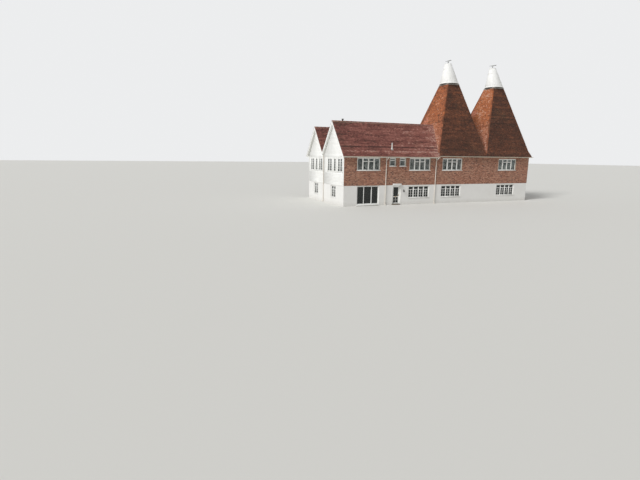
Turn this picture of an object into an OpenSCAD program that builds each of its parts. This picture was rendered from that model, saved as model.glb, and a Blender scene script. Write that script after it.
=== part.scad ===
// Oast house: two joined two-storey ranges with an M-shaped tiled roof, and two
// square hop kilns in a row at their east end, each under a turning cowl.
// X runs along the front, Y away from the front, Z up. Millimetres.
// The origin is on the ground under the middle of the building's outer box.

/* [Ranges] */
// Length of both ranges along the front
range_l = 11000; // [10500:100:12500]
// Depth of the front range, from its front wall to the valley
front_w = 5400; // [5000:100:6000]
// Depth of the rear range, from the valley to its rear wall
rear_w = 4900; // [4500:100:5400]
// Pitch of the range roofs in degrees
pitch = 49.4; // [46:0.2:52]
// Height of the valley between the two roofs
valley_h = 5350; // [5250:10:5500]
// Thickness of the range roofs, tiles and rafters together
roof_t = 200; // [150:10:220]
// Eaves overhang past the wall
eaves_over = 350; // [250:10:400]
// Height of the flat boxed soffit under the range eaves
soffit_h = 4850; // [4840:10:4900]
// Verge overhang past the west gables
verge_over = 250; // [150:10:350]

/* [Walls] */
// Height of the white painted ground-floor walls
lower_h = 2050; // [2050:10:2150]
// Thickness of the ground-floor walls
lower_t = 330; // [300:10:400]
// Thickness of the first-floor walls
upper_t = 230; // [200:10:260]
// Height of the kiln walls
kiln_wall_h = 5000; // [5000:10:5100]

/* [Floors] */
// Thickness of the ground-floor slab
slab_t = 100; // [60:10:110]
// Thickness of the first floor, boards and joists together
floor_t = 300; // [200:10:350]
// Width of the beam under the valley
beam_w = 300; // [200:10:400]

/* [Kilns] */
// Outer side of each square kiln
kiln_w = 6400; // [6000:100:7000]
// Height of a kiln roof above its walls
kiln_roof_h = 8000; // [7500:100:8500]
// Width of the flat top of a kiln roof
kiln_top_w = 1450; // [1300:10:1600]
// Horizontal thickness of a kiln roof
kiln_roof_t = 220; // [180:10:240]
// Height above the walls at which the steep slope would meet the wall face
hip_foot_h = 370; // [300:10:450]
// Height above the walls at which the flatter eaves courses begin
sprocket_h = 700; // [600:10:800]
// Eaves overhang of the kiln roofs
kiln_over = 220; // [180:10:340]
// Thickness of the kiln roof at its eaves edge
kiln_tip_t = 60; // [40:10:100]

/* [Cowls] */
// Outer radius of the round curb that a cowl turns above
curb_r = 700; // [650:10:720]
// Inner radius of the curb
curb_bore_r = 560; // [500:10:600]
// Height of the curb
curb_h = 90; // [60:10:120]
// Height of a cowl from rim to cap
cowl_h = 2190; // [2000:10:2400]
// Radius of a cowl at its rim
cowl_r = 1010; // [950:10:1040]
// Radius of a cowl at its cap
cowl_top_r = 360; // [300:10:420]
// How far the cap leans towards the mouth
cowl_lean = 330; // [250:10:400]
// Height of the pivot above the rim
pivot_h = 1650; // [1600:10:1700]
// Thickness of the cowl boards
cowl_t = 40; // [30:5:50]
// Height of the rim above the kiln roof
cowl_gap = 60; // [40:5:80]
// Height of the mouth's lower edge above the rim
mouth_low = 380; // [300:10:500]
// Height of the mouth's upper edge above the rim
mouth_high = 1560; // [1400:10:1700]
// Width of the mouth at its lower edge
mouth_w = 1000; // [900:10:1100]
// Width of the mouth at its upper edge
mouth_top_w = 620; // [500:10:700]
// Radius of the fixed post that carries a cowl
post_r = 50; // [40:5:60]
// Direction of the first cowl's mouth, in degrees from due north towards east
mouth_turn_1 = -12; // [-40:1:40]
// Direction of the second cowl's mouth
mouth_turn_2 = -30; // [-40:1:40]
// Length of a vane
vane_l = 800; // [700:10:1000]
// Height of the vane board
vane_h = 80; // [70:5:140]
// Thickness of the vane board
vane_t = 30; // [20:2:40]
// Height of the vane's stem above the cap
stem_h = 330; // [250:10:350]

/* [Windows] */
// Width of the wide windows
wide_w = 2600; // [2400:10:2650]
// Height of the wide first-floor windows
wide_h = 1310; // [1200:10:1320]
// Head height of the first-floor windows
head_h = 4840; // [4800:10:4840]
// Width of the small first-floor windows on the front
small_w = 760; // [600:10:800]
// Height of the small first-floor windows on the front
small_h = 880; // [800:10:1000]
// Width of the outer windows in the front gable
gable_win_w = 1220; // [1100:10:1250]
// Width of the outer windows in the rear gable
rear_gable_win_w = 1140; // [1000:10:1160]
// Width of the middle window in a gable
gable_mid_w = 640; // [560:10:660]
// Height of the gable windows
gable_win_h = 1440; // [1300:10:1500]
// Head height of the gable windows
gable_head_h = 4790; // [4700:10:4800]
// Head height of the ground-floor windows
low_head_h = 1950; // [1900:10:1960]
// Height of the ground-floor windows
low_win_h = 1270; // [1100:10:1300]
// Width of the windows in the short end walls
end_win_w = 1300; // [1000:10:1400]
// Left side of the west wide windows, from the west wall face
west_win_x = 1420; // [1200:10:1600]
// Gap between the small windows on the front, and to the wide one east of them
small_gap = 430; // [300:10:460]
// Distance of the east wide windows on the rear from the ranges' east end
rear_win_in = 1220; // [1000:10:1400]
// Gap between them and the small window on the rear
rear_small_gap = 1460; // [1300:10:1600]
// Distance of the first kiln's front windows from the ranges
kiln_win_in = 620; // [500:10:900]
// Distance of the first gable window from the front corner
gable_win_y = 390; // [350:10:450]
// Distance of the middle gable window from the front corner
gable_mid_y = 2035; // [1960:5:2100]
// Distance of the last front gable window from the front corner
gable_last_y = 3100; // [3000:10:3200]
// Distance of the first rear gable window from the valley
rear_gable_in = 440; // [400:10:520]
// Distance of the middle rear gable window from the valley
rear_gable_mid = 2010; // [1900:10:2100]
// Distance of the last rear gable window from the rear corner
rear_gable_out = 670; // [500:10:700]
// Setback of the window frames from the face of a masonry wall
reveal = 90; // [60:5:110]
// Setback of the window frames from the face of a boarded gable
gable_reveal = 10; // [5:1:20]
// Depth of a window frame
frame_d = 70; // [60:5:80]
// Width of a frame's outer members
frame_w = 60; // [40:5:70]
// Width of a mullion
mullion_w = 50; // [40:5:60]
// Thickness of the window glass
glass_t = 20; // [10:2:24]

/* [Doors] */
// Left side of the front door frame, from the west wall face
door_x = 5530; // [5500:10:5600]
// Width of the front door frame
door_frame_w = 1020; // [1000:10:1050]
// Width of the door jambs
jamb_w = 90; // [80:5:100]
// Depth of the door frame
door_frame_d = 100; // [90:5:110]
// Setback of the door frame from the wall face
door_back = 80; // [60:5:100]
// Thickness of the door leaf
leaf_t = 45; // [40:1:50]
// Running gap round the door leaf
leaf_gap = 7; // [6:0.5:8]
// Width of the leaf's stiles and rails
stile_w = 110; // [90:5:120]
// Projection of the door hood from the wall
hood_out = 150; // [100:10:200]
// Width of the door hood
hood_w = 960; // [900:10:1100]
// Thickness of the door hood
hood_t = 150; // [100:5:170]
// Radius of a hinge pin
pin_r = 6; // [5:0.5:7]
// Radius of a hinge knuckle
knuckle_r = 9; // [8.5:0.5:10]
// Length of a hinge knuckle
knuckle_l = 80; // [60:5:100]
// Distance of the outer hinges from the leaf's ends
hinge_inset = 200; // [150:10:250]
// Left side of the patio door frame, from the west wall face
patio_x = 1440; // [1300:10:1500]
// Width of the patio door frame
patio_w = 2550; // [2500:10:2600]
// Width of the patio door's outer frame members
patio_frame_w = 50; // [40:5:60]
// Width of the patio panels' stiles
patio_stile_w = 60; // [50:5:70]
// Depth of one patio panel
panel_t = 40; // [34:2:44]
// Free depth beside a patio panel, half of that between two panels
panel_margin = 10; // [8:1:12]

/* [Trim] */
// Outer radius of the half-round gutters
gutter_r = 55; // [45:5:60]
// Thickness of the gutter wall
gutter_t = 8; // [6:1:10]
// Radius of the downpipes
pipe_r = 38; // [34:1:42]
// Place of the west downpipes, from the west wall face
pipe_x_1 = 4690; // [4400:10:4900]
// Distance of the east downpipes from the ranges' east end
pipe_in = 250; // [200:10:350]
// Distance of the kiln downpipe from the kiln's rear corner
kiln_pipe_in = 400; // [300:10:500]
// Gap between a downpipe and the wall
pipe_gap = 30; // [20:5:40]
// Thickness of the bargeboards
barge_t = 25; // [20:1:30]
// Depth of the bargeboards, measured upright
barge_h = 260; // [200:10:290]
// Drop of the bargeboards' upper edge below the tiles
barge_drop = 30; // [20:1:40]
// Place of the vent pipe along the roof, from the west wall face
vent_x = 5470; // [5300:10:5600]
// Distance of the vent pipe from the front wall face
vent_y = 300; // [250:10:600]
// Radius of the vent pipe on the roof
vent_r = 55; // [45:5:60]
// Length of the vent pipe above the tiles
vent_l = 600; // [400:10:700]
// Place of the lantern, from the west wall face
lantern_x = 6900; // [6750:10:7000]
// Height of the lantern's foot
lantern_z = 1280; // [1200:10:1400]
// Height of the lantern
lamp_h = 300; // [250:10:350]
// Radius of the lantern
lamp_r = 70; // [60:5:80]
// Distance of the lantern's middle from the wall
lamp_out = 130; // [120:5:150]

/* [Hidden] */
// Roundness of cylinders
$fn = 48;
// Margin by which a cutting tool runs past what it cuts
cut = 50;
// Gap at which a moving piece lies over its seat
seat_gap = 0.3;

// Plan of the building
all_w = front_w + rear_w;
total_l = range_l + 2 * kiln_w;
party_x = range_l + kiln_w;
x_low = -verge_over;
x_high = total_l + kiln_over + 2 * gutter_r;
y_low = -(max(kiln_over, eaves_over) + 2 * gutter_r);
y_high = all_w + eaves_over + 2 * gutter_r;
centre_x = (x_low + x_high) / 2;
centre_y = (y_low + y_high) / 2;

// Range roofs: ridges over the middle of each range, all slopes at one pitch
slope = tan(pitch);
roof_v = roof_t / cos(pitch);
ridge_1_y = front_w / 2;
ridge_1_h = valley_h + slope * front_w / 2;
ridge_2_y = front_w + rear_w / 2;
ridge_2_h = valley_h + slope * rear_w / 2;
tip_h = valley_h - slope * eaves_over;
inner_valley_h = valley_h - roof_v;
wall_top_h = inner_valley_h - seat_gap;
roof_x = barge_t - verge_over;
rear_roof_l = range_l - 2 * roof_x;

// Kiln roofs: the steep slope's run for each millimetre of rise
kiln_run = (kiln_w - kiln_top_w) / 2;
kiln_k = kiln_run / (kiln_roof_h - hip_foot_h);
kiln_top_z = kiln_wall_h + kiln_roof_h;
kiln_mid_y = kiln_w / 2;
kiln_mid_x = [range_l + kiln_w / 2, party_x + kiln_w / 2];

// Cowls
cowl_z = kiln_top_z + cowl_gap;
cap_z = cowl_z + cowl_h;
cup_h = 120;
cup_r = post_r + 35;
cup_gap = 5;
plate_t = 40;
post_top = cowl_z + pivot_h - seat_gap;
beam_b = 100;
arm_b = 50;
arm_low_z = mouth_low / 2;
stem_r = 25;
// Thickness of the discs that the leaning cone is drawn between
disc_t = 0.01;

// Storeys
wide_z = head_h - wide_h;
small_z = head_h - small_h;
gable_win_z = gable_head_h - gable_win_h;
low_win_z = low_head_h - low_win_h;

// Window places: [left side, bottom, width, height, number of lights]
east_win_x = (door_x + door_frame_w + range_l - wide_w) / 2;
small_x_2 = east_win_x - small_gap - small_w;
small_x_1 = small_x_2 - small_gap - small_w;
upper_front = [[west_win_x, wide_z, wide_w, wide_h, 4], [small_x_1, small_z, small_w, small_h, 1],
    [small_x_2, small_z, small_w, small_h, 1], [east_win_x, wide_z, wide_w, wide_h, 4]];
lower_front = [[east_win_x, low_win_z, wide_w, low_win_h, 4]];
kiln_win_x = [range_l + kiln_win_in, party_x + (kiln_w - wide_w) / 2];
upper_kiln = [for (x = kiln_win_x) [x, wide_z, wide_w, wide_h, 4]];
lower_kiln = [for (x = kiln_win_x) [x, low_win_z, wide_w, low_win_h, 4]];
rear_win_x = range_l - rear_win_in - wide_w;
rear_small_x = rear_win_x - rear_small_gap - small_w;
upper_rear = [[west_win_x, wide_z, wide_w, wide_h, 4],
    [rear_small_x, small_z, small_w, small_h, 1], [rear_win_x, wide_z, wide_w, wide_h, 4]];
lower_rear = [[west_win_x, low_win_z, wide_w, low_win_h, 4],
    [rear_win_x, low_win_z, wide_w, low_win_h, 4]];
kiln_rear_x = [for (x = kiln_mid_x) x - wide_w / 2];
upper_kiln_rear = [for (x = kiln_rear_x) [x, wide_z, wide_w, wide_h, 4]];
lower_kiln_rear = [for (x = kiln_rear_x) [x, low_win_z, wide_w, low_win_h, 4]];
// Windows in the end walls, their left side counted along Y
gable_left = [gable_win_y, gable_mid_y, gable_last_y];
gable_widths = [gable_win_w, gable_mid_w, gable_win_w];
rear_left = [rear_gable_in, rear_gable_mid, rear_w - rear_gable_out - rear_gable_win_w];
rear_widths = [rear_gable_win_w, gable_mid_w, rear_gable_win_w];
gable_lights = [2, 1, 2];
west_front = [for (i = [0 : 2])
    [gable_left[i], gable_win_z, gable_widths[i], gable_win_h, gable_lights[i]]];
west_rear = [for (i = [0 : 2])
    [front_w + rear_left[i], gable_win_z, rear_widths[i], gable_win_h, gable_lights[i]]];
lower_west = [[ridge_1_y - end_win_w / 2, low_win_z, end_win_w, low_win_h, 2],
    [ridge_2_y - end_win_w / 2, low_win_z, end_win_w, low_win_h, 2]];
east_win_y = (kiln_w + all_w - end_win_w) / 2;
upper_east = [[east_win_y, gable_win_z, end_win_w, gable_win_h, 2]];
lower_east = [[east_win_y, low_win_z, end_win_w, low_win_h, 2]];
upper_kiln_east = [[(kiln_w - wide_w) / 2, wide_z, wide_w, wide_h, 4]];
lower_kiln_east = [[(kiln_w - wide_w) / 2, low_win_z, wide_w, low_win_h, 4]];

// Trim
pipe_x = [pipe_x_1, range_l - pipe_in];
kiln_pipe_y = kiln_w - kiln_pipe_in;
lamp_plate_t = 24;

// Front door
door_right = door_x + door_frame_w;
leaf_x = door_x + jamb_w + leaf_gap;
leaf_w = door_frame_w - 2 * (jamb_w + leaf_gap);
leaf_z = slab_t + leaf_gap;
leaf_h = lower_h - jamb_w - leaf_gap - leaf_z;
leaf_y = door_back + door_frame_d - leaf_t;
hinge_x = leaf_x - leaf_gap / 2;
hinge_off = knuckle_r + 3;
hinge_y = door_back + door_frame_d + hinge_off;
hinge_z = [leaf_z + hinge_inset, leaf_z + leaf_h / 2 - knuckle_l / 2,
    leaf_z + leaf_h - hinge_inset - knuckle_l];

// Patio door: two fixed panels on the outer track, one that slides on the inner track
patio_d = 2 * panel_t + 4 * panel_margin;
fixed_y = door_back + panel_margin;
patio_light_w = (patio_w - 2 * patio_frame_w) / 3;
slide_overlap = patio_stile_w;
track_h = 15;
track_w = 10;
slider_x = patio_x + patio_frame_w + patio_light_w - slide_overlap;
slider_w = patio_light_w + 2 * slide_overlap;
slider_y = door_back + panel_t + 3 * panel_margin;
slider_z = slab_t + patio_frame_w + track_h + seat_gap;
slider_h = lower_h - patio_frame_w - leaf_gap - slider_z;

module place() {
    translate([-centre_x, -centre_y, 0])
        children();
}

// A plate in the X-Z plane, from y to y + d
module front_plate(y, d) {
    translate([0, y + d, 0])
        rotate([90, 0, 0])
            linear_extrude(height = d)
                children();
}

// A plate in the Y-Z plane, from x to x + d
module side_plate(x, d) {
    translate([x, 0, 0])
        rotate([90, 0, 90])
            linear_extrude(height = d)
                children();
}

// Outlines of a list of window holes, drawn flat
module holes(list) {
    for (w = list)
        translate([w[0], w[1]])
            square([w[2], w[3]]);
}

// A straight wall in the X-Z plane with its windows cut through
module front_wall(x0, x1, z0, z1, y, t, list) {
    front_plate(y, t)
        difference() {
            translate([x0, z0])
                square([x1 - x0, z1 - z0]);
            holes(list);
        }
}

// A straight wall in the Y-Z plane with its windows cut through
module side_wall(y0, y1, z0, z1, x, t, list) {
    side_plate(x, t)
        difference() {
            translate([y0, z0])
                square([y1 - y0, z1 - z0]);
            holes(list);
        }
}

// One casement frame: a ring with mullions, flat, its lower left corner at the origin
module frame_outline(w, h, lights) {
    light_w = (w - 2 * frame_w - (lights - 1) * mullion_w) / lights;
    difference() {
        square([w, h]);
        for (i = [0 : lights - 1])
            translate([frame_w + i * (light_w + mullion_w), frame_w])
                square([light_w, h - 2 * frame_w]);
    }
}

// Frame with its mullions cut back so that one sheet of glass lies behind them.
// side 1 faces -Y or -X, side -1 faces +Y or +X.
module one_frame(w, h, lights, side) {
    back = side > 0 ? 0 : glass_t;
    union() {
        translate([0, back, 0])
            front_plate(0, frame_d - glass_t)
                frame_outline(w, h, lights);
        front_plate(0, frame_d)
            difference() {
                square([w, h]);
                translate([frame_w, frame_w])
                    square([w - 2 * frame_w, h - 2 * frame_w]);
            }
    }
}

module one_glass(w, h, side) {
    back = side > 0 ? frame_d - glass_t : 0;
    translate([frame_w, back, frame_w])
        cube([w - 2 * frame_w, glass_t, h - 2 * frame_w]);
}

// Sets a window list into a wall along X whose outer face is at y
module on_front(list, y, side, glass) {
    y0 = side > 0 ? y + reveal : y - reveal - frame_d;
    for (w = list)
        translate([w[0], y0, w[1]])
            window_part(w, side, glass);
}

// Sets a window list into a wall along Y whose outer face is at x, back from that face
module on_side(list, x, side, back, glass) {
    x0 = side > 0 ? x + back : x - back - frame_d;
    for (w = list)
        translate([x0, w[0] + w[2], w[1]])
            rotate([0, 0, -90])
                window_part(w, side, glass);
}

// The frame or the glass of one window
module window_part(w, side, glass) {
    if (glass)
        one_glass(w[2], w[3], side);
    else
        one_frame(w[2], w[3], w[4], side);
}

module all_windows(glass) {
    on_front(concat(upper_front, lower_front, upper_kiln, lower_kiln), 0, 1, glass);
    on_front(concat(upper_rear, lower_rear), all_w, -1, glass);
    on_front(concat(upper_kiln_rear, lower_kiln_rear), kiln_w, -1, glass);
    on_side(concat(west_front, west_rear), 0, 1, gable_reveal, glass);
    on_side(lower_west, 0, 1, reveal, glass);
    on_side(upper_east, range_l, -1, gable_reveal, glass);
    on_side(lower_east, range_l, -1, reveal, glass);
    on_side(concat(upper_kiln_east, lower_kiln_east), total_l, -1, reveal, glass);
}

// Ground floor

// Floor plate of the ranges between walls of thickness t. In the front range it runs
// on to the kiln's wall.
module range_plate(t, z, h) {
    translate([t, t, z])
        cube([range_l - t, front_w - t, h]);
    translate([t, front_w, z])
        cube([range_l - 2 * t, rear_w - t, h]);
}

module ground_floor() {
    color("tan")
        place() {
            range_plate(lower_t, 0, slab_t);
            for (doorway = [[door_x, door_frame_w], [patio_x, patio_w]])
                translate([doorway[0], 0, 0])
                    cube([doorway[1], lower_t, slab_t]);
            for (x = [range_l + lower_t, party_x + lower_t / 2])
                translate([x, lower_t, 0])
                    cube([kiln_w - 1.5 * lower_t, kiln_w - 2 * lower_t, slab_t]);
        }
}

module first_floor() {
    color("burlywood")
        place() {
            range_plate(upper_t, lower_h, floor_t);
            kiln_floor(range_l + lower_t, party_x - lower_t / 2);
            kiln_floor(party_x + lower_t / 2, total_l - upper_t);
        }
}

module kiln_floor(x0, x1) {
    translate([x0, upper_t, lower_h])
        cube([x1 - x0, kiln_w - 2 * upper_t, floor_t]);
}

// The beam under the valley, its top cut to the two roof undersides
module valley_beam() {
    half = beam_w / 2;
    foot = inner_valley_h - beam_w;
    color("saddlebrown")
        place()
            side_plate(upper_t, range_l - 2 * upper_t)
                polygon([[front_w - half, foot], [front_w + half, foot],
                    [front_w + half, wall_top_h + slope * half], [front_w, wall_top_h],
                    [front_w - half, wall_top_h + slope * half]]);
}

module lower_colour() {
    color("white")
        place()
            children();
}

module front_wall_left() {
    lower_colour()
        front_wall(lower_t, patio_x, 0, lower_h, 0, lower_t, []);
}

module front_wall_middle() {
    lower_colour()
        front_wall(patio_x + patio_w, door_x, 0, lower_h, 0, lower_t, []);
}

module front_wall_right() {
    lower_colour()
        front_wall(door_right, range_l, 0, lower_h, 0, lower_t, lower_front);
}

module kiln_front_wall_lower() {
    lower_colour()
        front_wall(range_l, total_l, 0, lower_h, 0, lower_t, lower_kiln);
}

module west_wall_lower() {
    lower_colour()
        side_wall(0, all_w, 0, lower_h, 0, lower_t, lower_west);
}

module rear_wall_lower() {
    lower_colour()
        front_wall(lower_t, range_l, 0, lower_h, all_w - lower_t, lower_t, lower_rear);
}

module east_wall_lower() {
    lower_colour()
        side_wall(front_w, all_w - lower_t, 0, lower_h, range_l - lower_t, lower_t, lower_east);
}

module kiln_east_wall_lower() {
    lower_colour()
        side_wall(lower_t, kiln_w - lower_t, 0, lower_h, total_l - lower_t, lower_t, lower_kiln_east);
}

module kiln_rear_wall_lower() {
    lower_colour()
        front_wall(range_l, total_l, 0, lower_h, kiln_w - lower_t, lower_t, lower_kiln_rear);
}

// First floor

// Brick wall of a range, its top cut to the roof's underside
module eaves_wall(x0, x1, y, side, list) {
    color("indianred")
        place()
            difference() {
                side_plate(x0, x1 - x0)
                    translate([y, 0])
                        scale([side, 1])
                            polygon([[0, lower_h], [upper_t, lower_h],
                                [upper_t, wall_top_h + slope * upper_t], [0, wall_top_h]]);
                front_plate(side > 0 ? y - cut : y - upper_t - cut, upper_t + 2 * cut)
                    holes(list);
            }
}

module front_wall_upper() {
    eaves_wall(upper_t, range_l, 0, 1, upper_front);
}

module rear_wall_upper() {
    eaves_wall(upper_t, range_l - upper_t, all_w, -1, upper_rear);
}

module brick_colour() {
    color("indianred")
        place()
            children();
}

module kiln_front_wall_upper() {
    brick_colour()
        front_wall(range_l, total_l, lower_h, kiln_wall_h, 0, upper_t, upper_kiln);
}

module kiln_rear_wall_upper() {
    brick_colour()
        front_wall(range_l, total_l, lower_h, kiln_wall_h, kiln_w - upper_t, upper_t, upper_kiln_rear);
}

module kiln_east_wall_upper() {
    brick_colour()
        side_wall(upper_t, kiln_w - upper_t, lower_h, kiln_wall_h, total_l - upper_t, upper_t,
            upper_kiln_east);
}

module kiln_inner_walls() {
    color("rosybrown")
        place() {
            side_wall(lower_t, kiln_w - lower_t, 0, lower_h, range_l, lower_t, []);
            side_wall(upper_t, kiln_w - upper_t, lower_h, kiln_wall_h, range_l, lower_t, []);
            side_wall(lower_t, kiln_w - lower_t, 0, lower_h, party_x - lower_t / 2, lower_t, []);
            side_wall(upper_t, kiln_w - upper_t, lower_h, kiln_wall_h, party_x - lower_t / 2, lower_t, []);
        }
}

// A gable wall from y0 to y1 under a roof whose ridge is over its middle
module gable_wall(x, y0, y1, apex_h, list) {
    color("whitesmoke")
        place()
            side_plate(x, upper_t)
                difference() {
                    polygon([[y0, lower_h], [y1, lower_h], [y1, wall_top_h],
                        [(y0 + y1) / 2, apex_h - roof_v - seat_gap], [y0, wall_top_h]]);
                    holes(list);
                }
}

module west_gable_front() {
    gable_wall(0, 0, front_w, ridge_1_h, west_front);
}

module west_gable_rear() {
    gable_wall(0, front_w, all_w, ridge_2_h, west_rear);
}

module east_gable() {
    gable_wall(range_l - upper_t, front_w, all_w, ridge_2_h, upper_east);
}

// Range roofs

// One slope with a boxed eaves, drawn with its eaves towards -Y and its wall face at 0
module eaves_slope(half_w, ridge_h) {
    polygon([[-eaves_over, soffit_h], [0, soffit_h], [0, inner_valley_h],
        [half_w, ridge_h - roof_v], [half_w, ridge_h], [-eaves_over, tip_h]]);
}

// One slope that ends in the valley, drawn with the valley at 0
module valley_slope(half_w, ridge_h) {
    polygon([[0, inner_valley_h], [half_w, ridge_h - roof_v], [half_w, ridge_h], [0, valley_h]]);
}

module roof_colour() {
    color("sienna")
        place()
            children();
}

// The front range's slopes run on past the kiln's wall to its steep side
module meets_kiln() {
    difference() {
        side_plate(roof_x, range_l + kiln_run - roof_x)
            children();
        kiln_body(0);
        translate([range_l, -eaves_over - cut, 0])
            cube([kiln_w, eaves_over + cut, kiln_top_z]);
    }
}

module front_roof_south() {
    roof_colour()
        meets_kiln()
            eaves_slope(front_w / 2, ridge_1_h);
}

module front_roof_north() {
    roof_colour()
        meets_kiln()
            translate([front_w, 0])
                mirror([1, 0])
                    valley_slope(front_w / 2, ridge_1_h);
}

module rear_roof_south() {
    roof_colour()
        difference() {
            side_plate(roof_x, rear_roof_l)
                translate([front_w, 0])
                    valley_slope(rear_w / 2, ridge_2_h);
            kiln_body(0);
        }
}

module rear_roof_north() {
    roof_colour()
        side_plate(roof_x, rear_roof_l)
            translate([all_w, 0])
                mirror([1, 0])
                    eaves_slope(rear_w / 2, ridge_2_h);
}

// Kiln roofs

// Profile of a kiln roof across one direction, with an overhang on the sides that have eaves
function kiln_side(over) = over > 0 ?
    [[-over, kiln_wall_h], [-over, kiln_wall_h + kiln_tip_t],
        [(sprocket_h - hip_foot_h) * kiln_k, kiln_wall_h + sprocket_h]] :
    [[0, kiln_wall_h], [0, kiln_wall_h + hip_foot_h]];

function flipped(points) = [for (i = [len(points) - 1 : -1 : 0]) [kiln_w - points[i][0], points[i][1]]];

function kiln_profile(low_over, high_over) = concat(kiln_side(low_over),
    [[kiln_run, kiln_top_z], [kiln_w - kiln_run, kiln_top_z]], flipped(kiln_side(high_over)));

function inner_at(h) = kiln_roof_t + (h - hip_foot_h) * kiln_k;

// Inner profile of a kiln roof, smaller by t on both sides
function kiln_inner_profile(t) =
    let (low = inner_at(-cut) + t, high = inner_at(kiln_roof_h + cut) + t)
    [[low, kiln_wall_h - cut], [kiln_w - low, kiln_wall_h - cut],
        [kiln_w - high, kiln_top_z + cut], [high, kiln_top_z + cut]];

// The outer body of kiln roof i: hipped, so it is where its two profiles cross
module kiln_body(i) {
    x0 = range_l + i * kiln_w;
    reach = kiln_over + cut;
    intersection() {
        front_plate(-reach, kiln_w + 2 * reach)
            translate([x0, 0])
                polygon(kiln_profile(0, i * kiln_over));
        side_plate(x0 - reach, kiln_w + 2 * reach)
            polygon(kiln_profile(kiln_over, kiln_over));
    }
}

// What lies between the inner faces of its front and rear slopes, right through the roof
module kiln_between(i, t) {
    reach = kiln_over + cut;
    side_plate(range_l + i * kiln_w - reach, kiln_w + 2 * reach)
        polygon(kiln_inner_profile(t));
}

// The front and rear slopes run through to the hips, and the other two stand between them
module kiln_front_rear(i) {
    color("chocolate")
        place()
            difference() {
                kiln_body(i);
                kiln_between(i, 0);
            }
}

module kiln_sides(i) {
    x0 = range_l + i * kiln_w;
    color("chocolate")
        place()
            difference() {
                intersection() {
                    kiln_body(i);
                    kiln_between(i, seat_gap);
                }
                front_plate(0, kiln_w)
                    translate([x0, 0])
                        polygon(kiln_inner_profile(0));
            }
}

module kiln_1_roof_front_rear() {
    kiln_front_rear(0);
}

module kiln_1_roof_sides() {
    kiln_sides(0);
}

module kiln_2_roof_front_rear() {
    kiln_front_rear(1);
}

module kiln_2_roof_sides() {
    kiln_sides(1);
}

// Cowls

module at_kiln(i) {
    place()
        translate([kiln_mid_x[i], kiln_mid_y, 0])
            children();
}

// Curb, beam across it and the fixed post
module cowl_bearings() {
    beam_l = curb_r + curb_bore_r;
    color("dimgray")
        for (i = [0, 1])
            at_kiln(i)
                translate([0, 0, kiln_top_z])
                    union() {
                        difference() {
                            cylinder(h = curb_h, r = curb_r);
                            translate([0, 0, -cut])
                                cylinder(h = curb_h + 2 * cut, r = curb_bore_r);
                        }
                        translate([-beam_l / 2, -beam_b / 2, 0])
                            cube([beam_l, beam_b, curb_h]);
                        cylinder(h = post_top - kiln_top_z, r = post_r);
                    }
}

function cone_r(z) = cowl_r + (cowl_top_r - cowl_r) * z / cowl_h;

function lean(z) = cowl_lean * z / cowl_h;

// A leaning cone between two heights above the rim, smaller by t all round
module leaning_cone(z0, z1, t) {
    hull()
        for (z = [z0, z1 - disc_t])
            translate([0, lean(z), z])
                cylinder(h = disc_t, r = cone_r(z) - t, $fn = 32);
}

// Two crossing arms inside the cowl, let into its boards
module spider(z) {
    reach = cone_r(z + arm_b) - cowl_t / 2;
    off = lean(z + arm_b);
    half_x = sqrt(reach * reach - off * off);
    translate([-arm_b / 2, off - reach, z])
        cube([arm_b, 2 * reach, arm_b]);
    translate([-half_x, -arm_b / 2, z])
        cube([2 * half_x, arm_b, arm_b]);
    translate([0, 0, z])
        cylinder(h = arm_b, r = cup_r);
}

// Board shell with its mouth towards +Y, and the cup and arms that turn on the post
module cowl_shell() {
    difference() {
        leaning_cone(0, cowl_h, 0);
        leaning_cone(-cut, cowl_h - cowl_t, cowl_t);
        front_plate(0, 2 * cowl_r)
            polygon([[-mouth_w / 2, mouth_low], [mouth_w / 2, mouth_low],
                [mouth_top_w / 2, mouth_high], [-mouth_top_w / 2, mouth_high]]);
    }
    difference() {
        union() {
            translate([0, 0, pivot_h + plate_t - cup_h])
                cylinder(h = cup_h, r = cup_r);
            spider(pivot_h + plate_t - arm_b);
            spider(arm_low_z);
        }
        translate([0, 0, -cut])
            cylinder(h = pivot_h + cut, r = post_r + cup_gap);
    }
}

module cowl(i, turn) {
    color("white")
        at_kiln(i)
            translate([0, 0, cowl_z])
                rotate([0, 0, -turn])
                    cowl_shell();
}

// Stem on the cap, and a board over it that tapers towards the mouth's side
module vane(i, turn) {
    half = vane_l / 2;
    color("dimgray")
        at_kiln(i)
            translate([0, 0, cap_z])
                rotate([0, 0, -turn])
                    translate([0, cowl_lean, 0]) {
                        cylinder(h = stem_h, r = stem_r);
                        side_plate(-vane_t / 2, vane_t)
                            polygon([[-half, stem_h - vane_h / 2], [half, stem_h - vane_h / 8],
                                [half, stem_h + vane_h / 8], [-half, stem_h + vane_h / 2]]);
                    }
}

module cowl_1() {
    cowl(0, mouth_turn_1);
}

module vane_1() {
    vane(0, mouth_turn_1);
}

module cowl_2() {
    cowl(1, mouth_turn_2);
}

module vane_2() {
    vane(1, mouth_turn_2);
}

// Windows

module window_frames() {
    color("white")
        place()
            all_windows(false);
}

module window_glass() {
    color("slategray")
        place() {
            all_windows(true);
            for (i = [0, 2])
                patio_pane(patio_x + patio_frame_w + i * patio_light_w);
        }
}

// Front door

module hinge_bracket(z, h) {
    translate([hinge_x, hinge_y, z])
        cylinder(h = h, r = knuckle_r);
    translate([hinge_x - 2 * knuckle_r, hinge_y - hinge_off, z])
        cube([2 * knuckle_r, hinge_off, h]);
}

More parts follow.
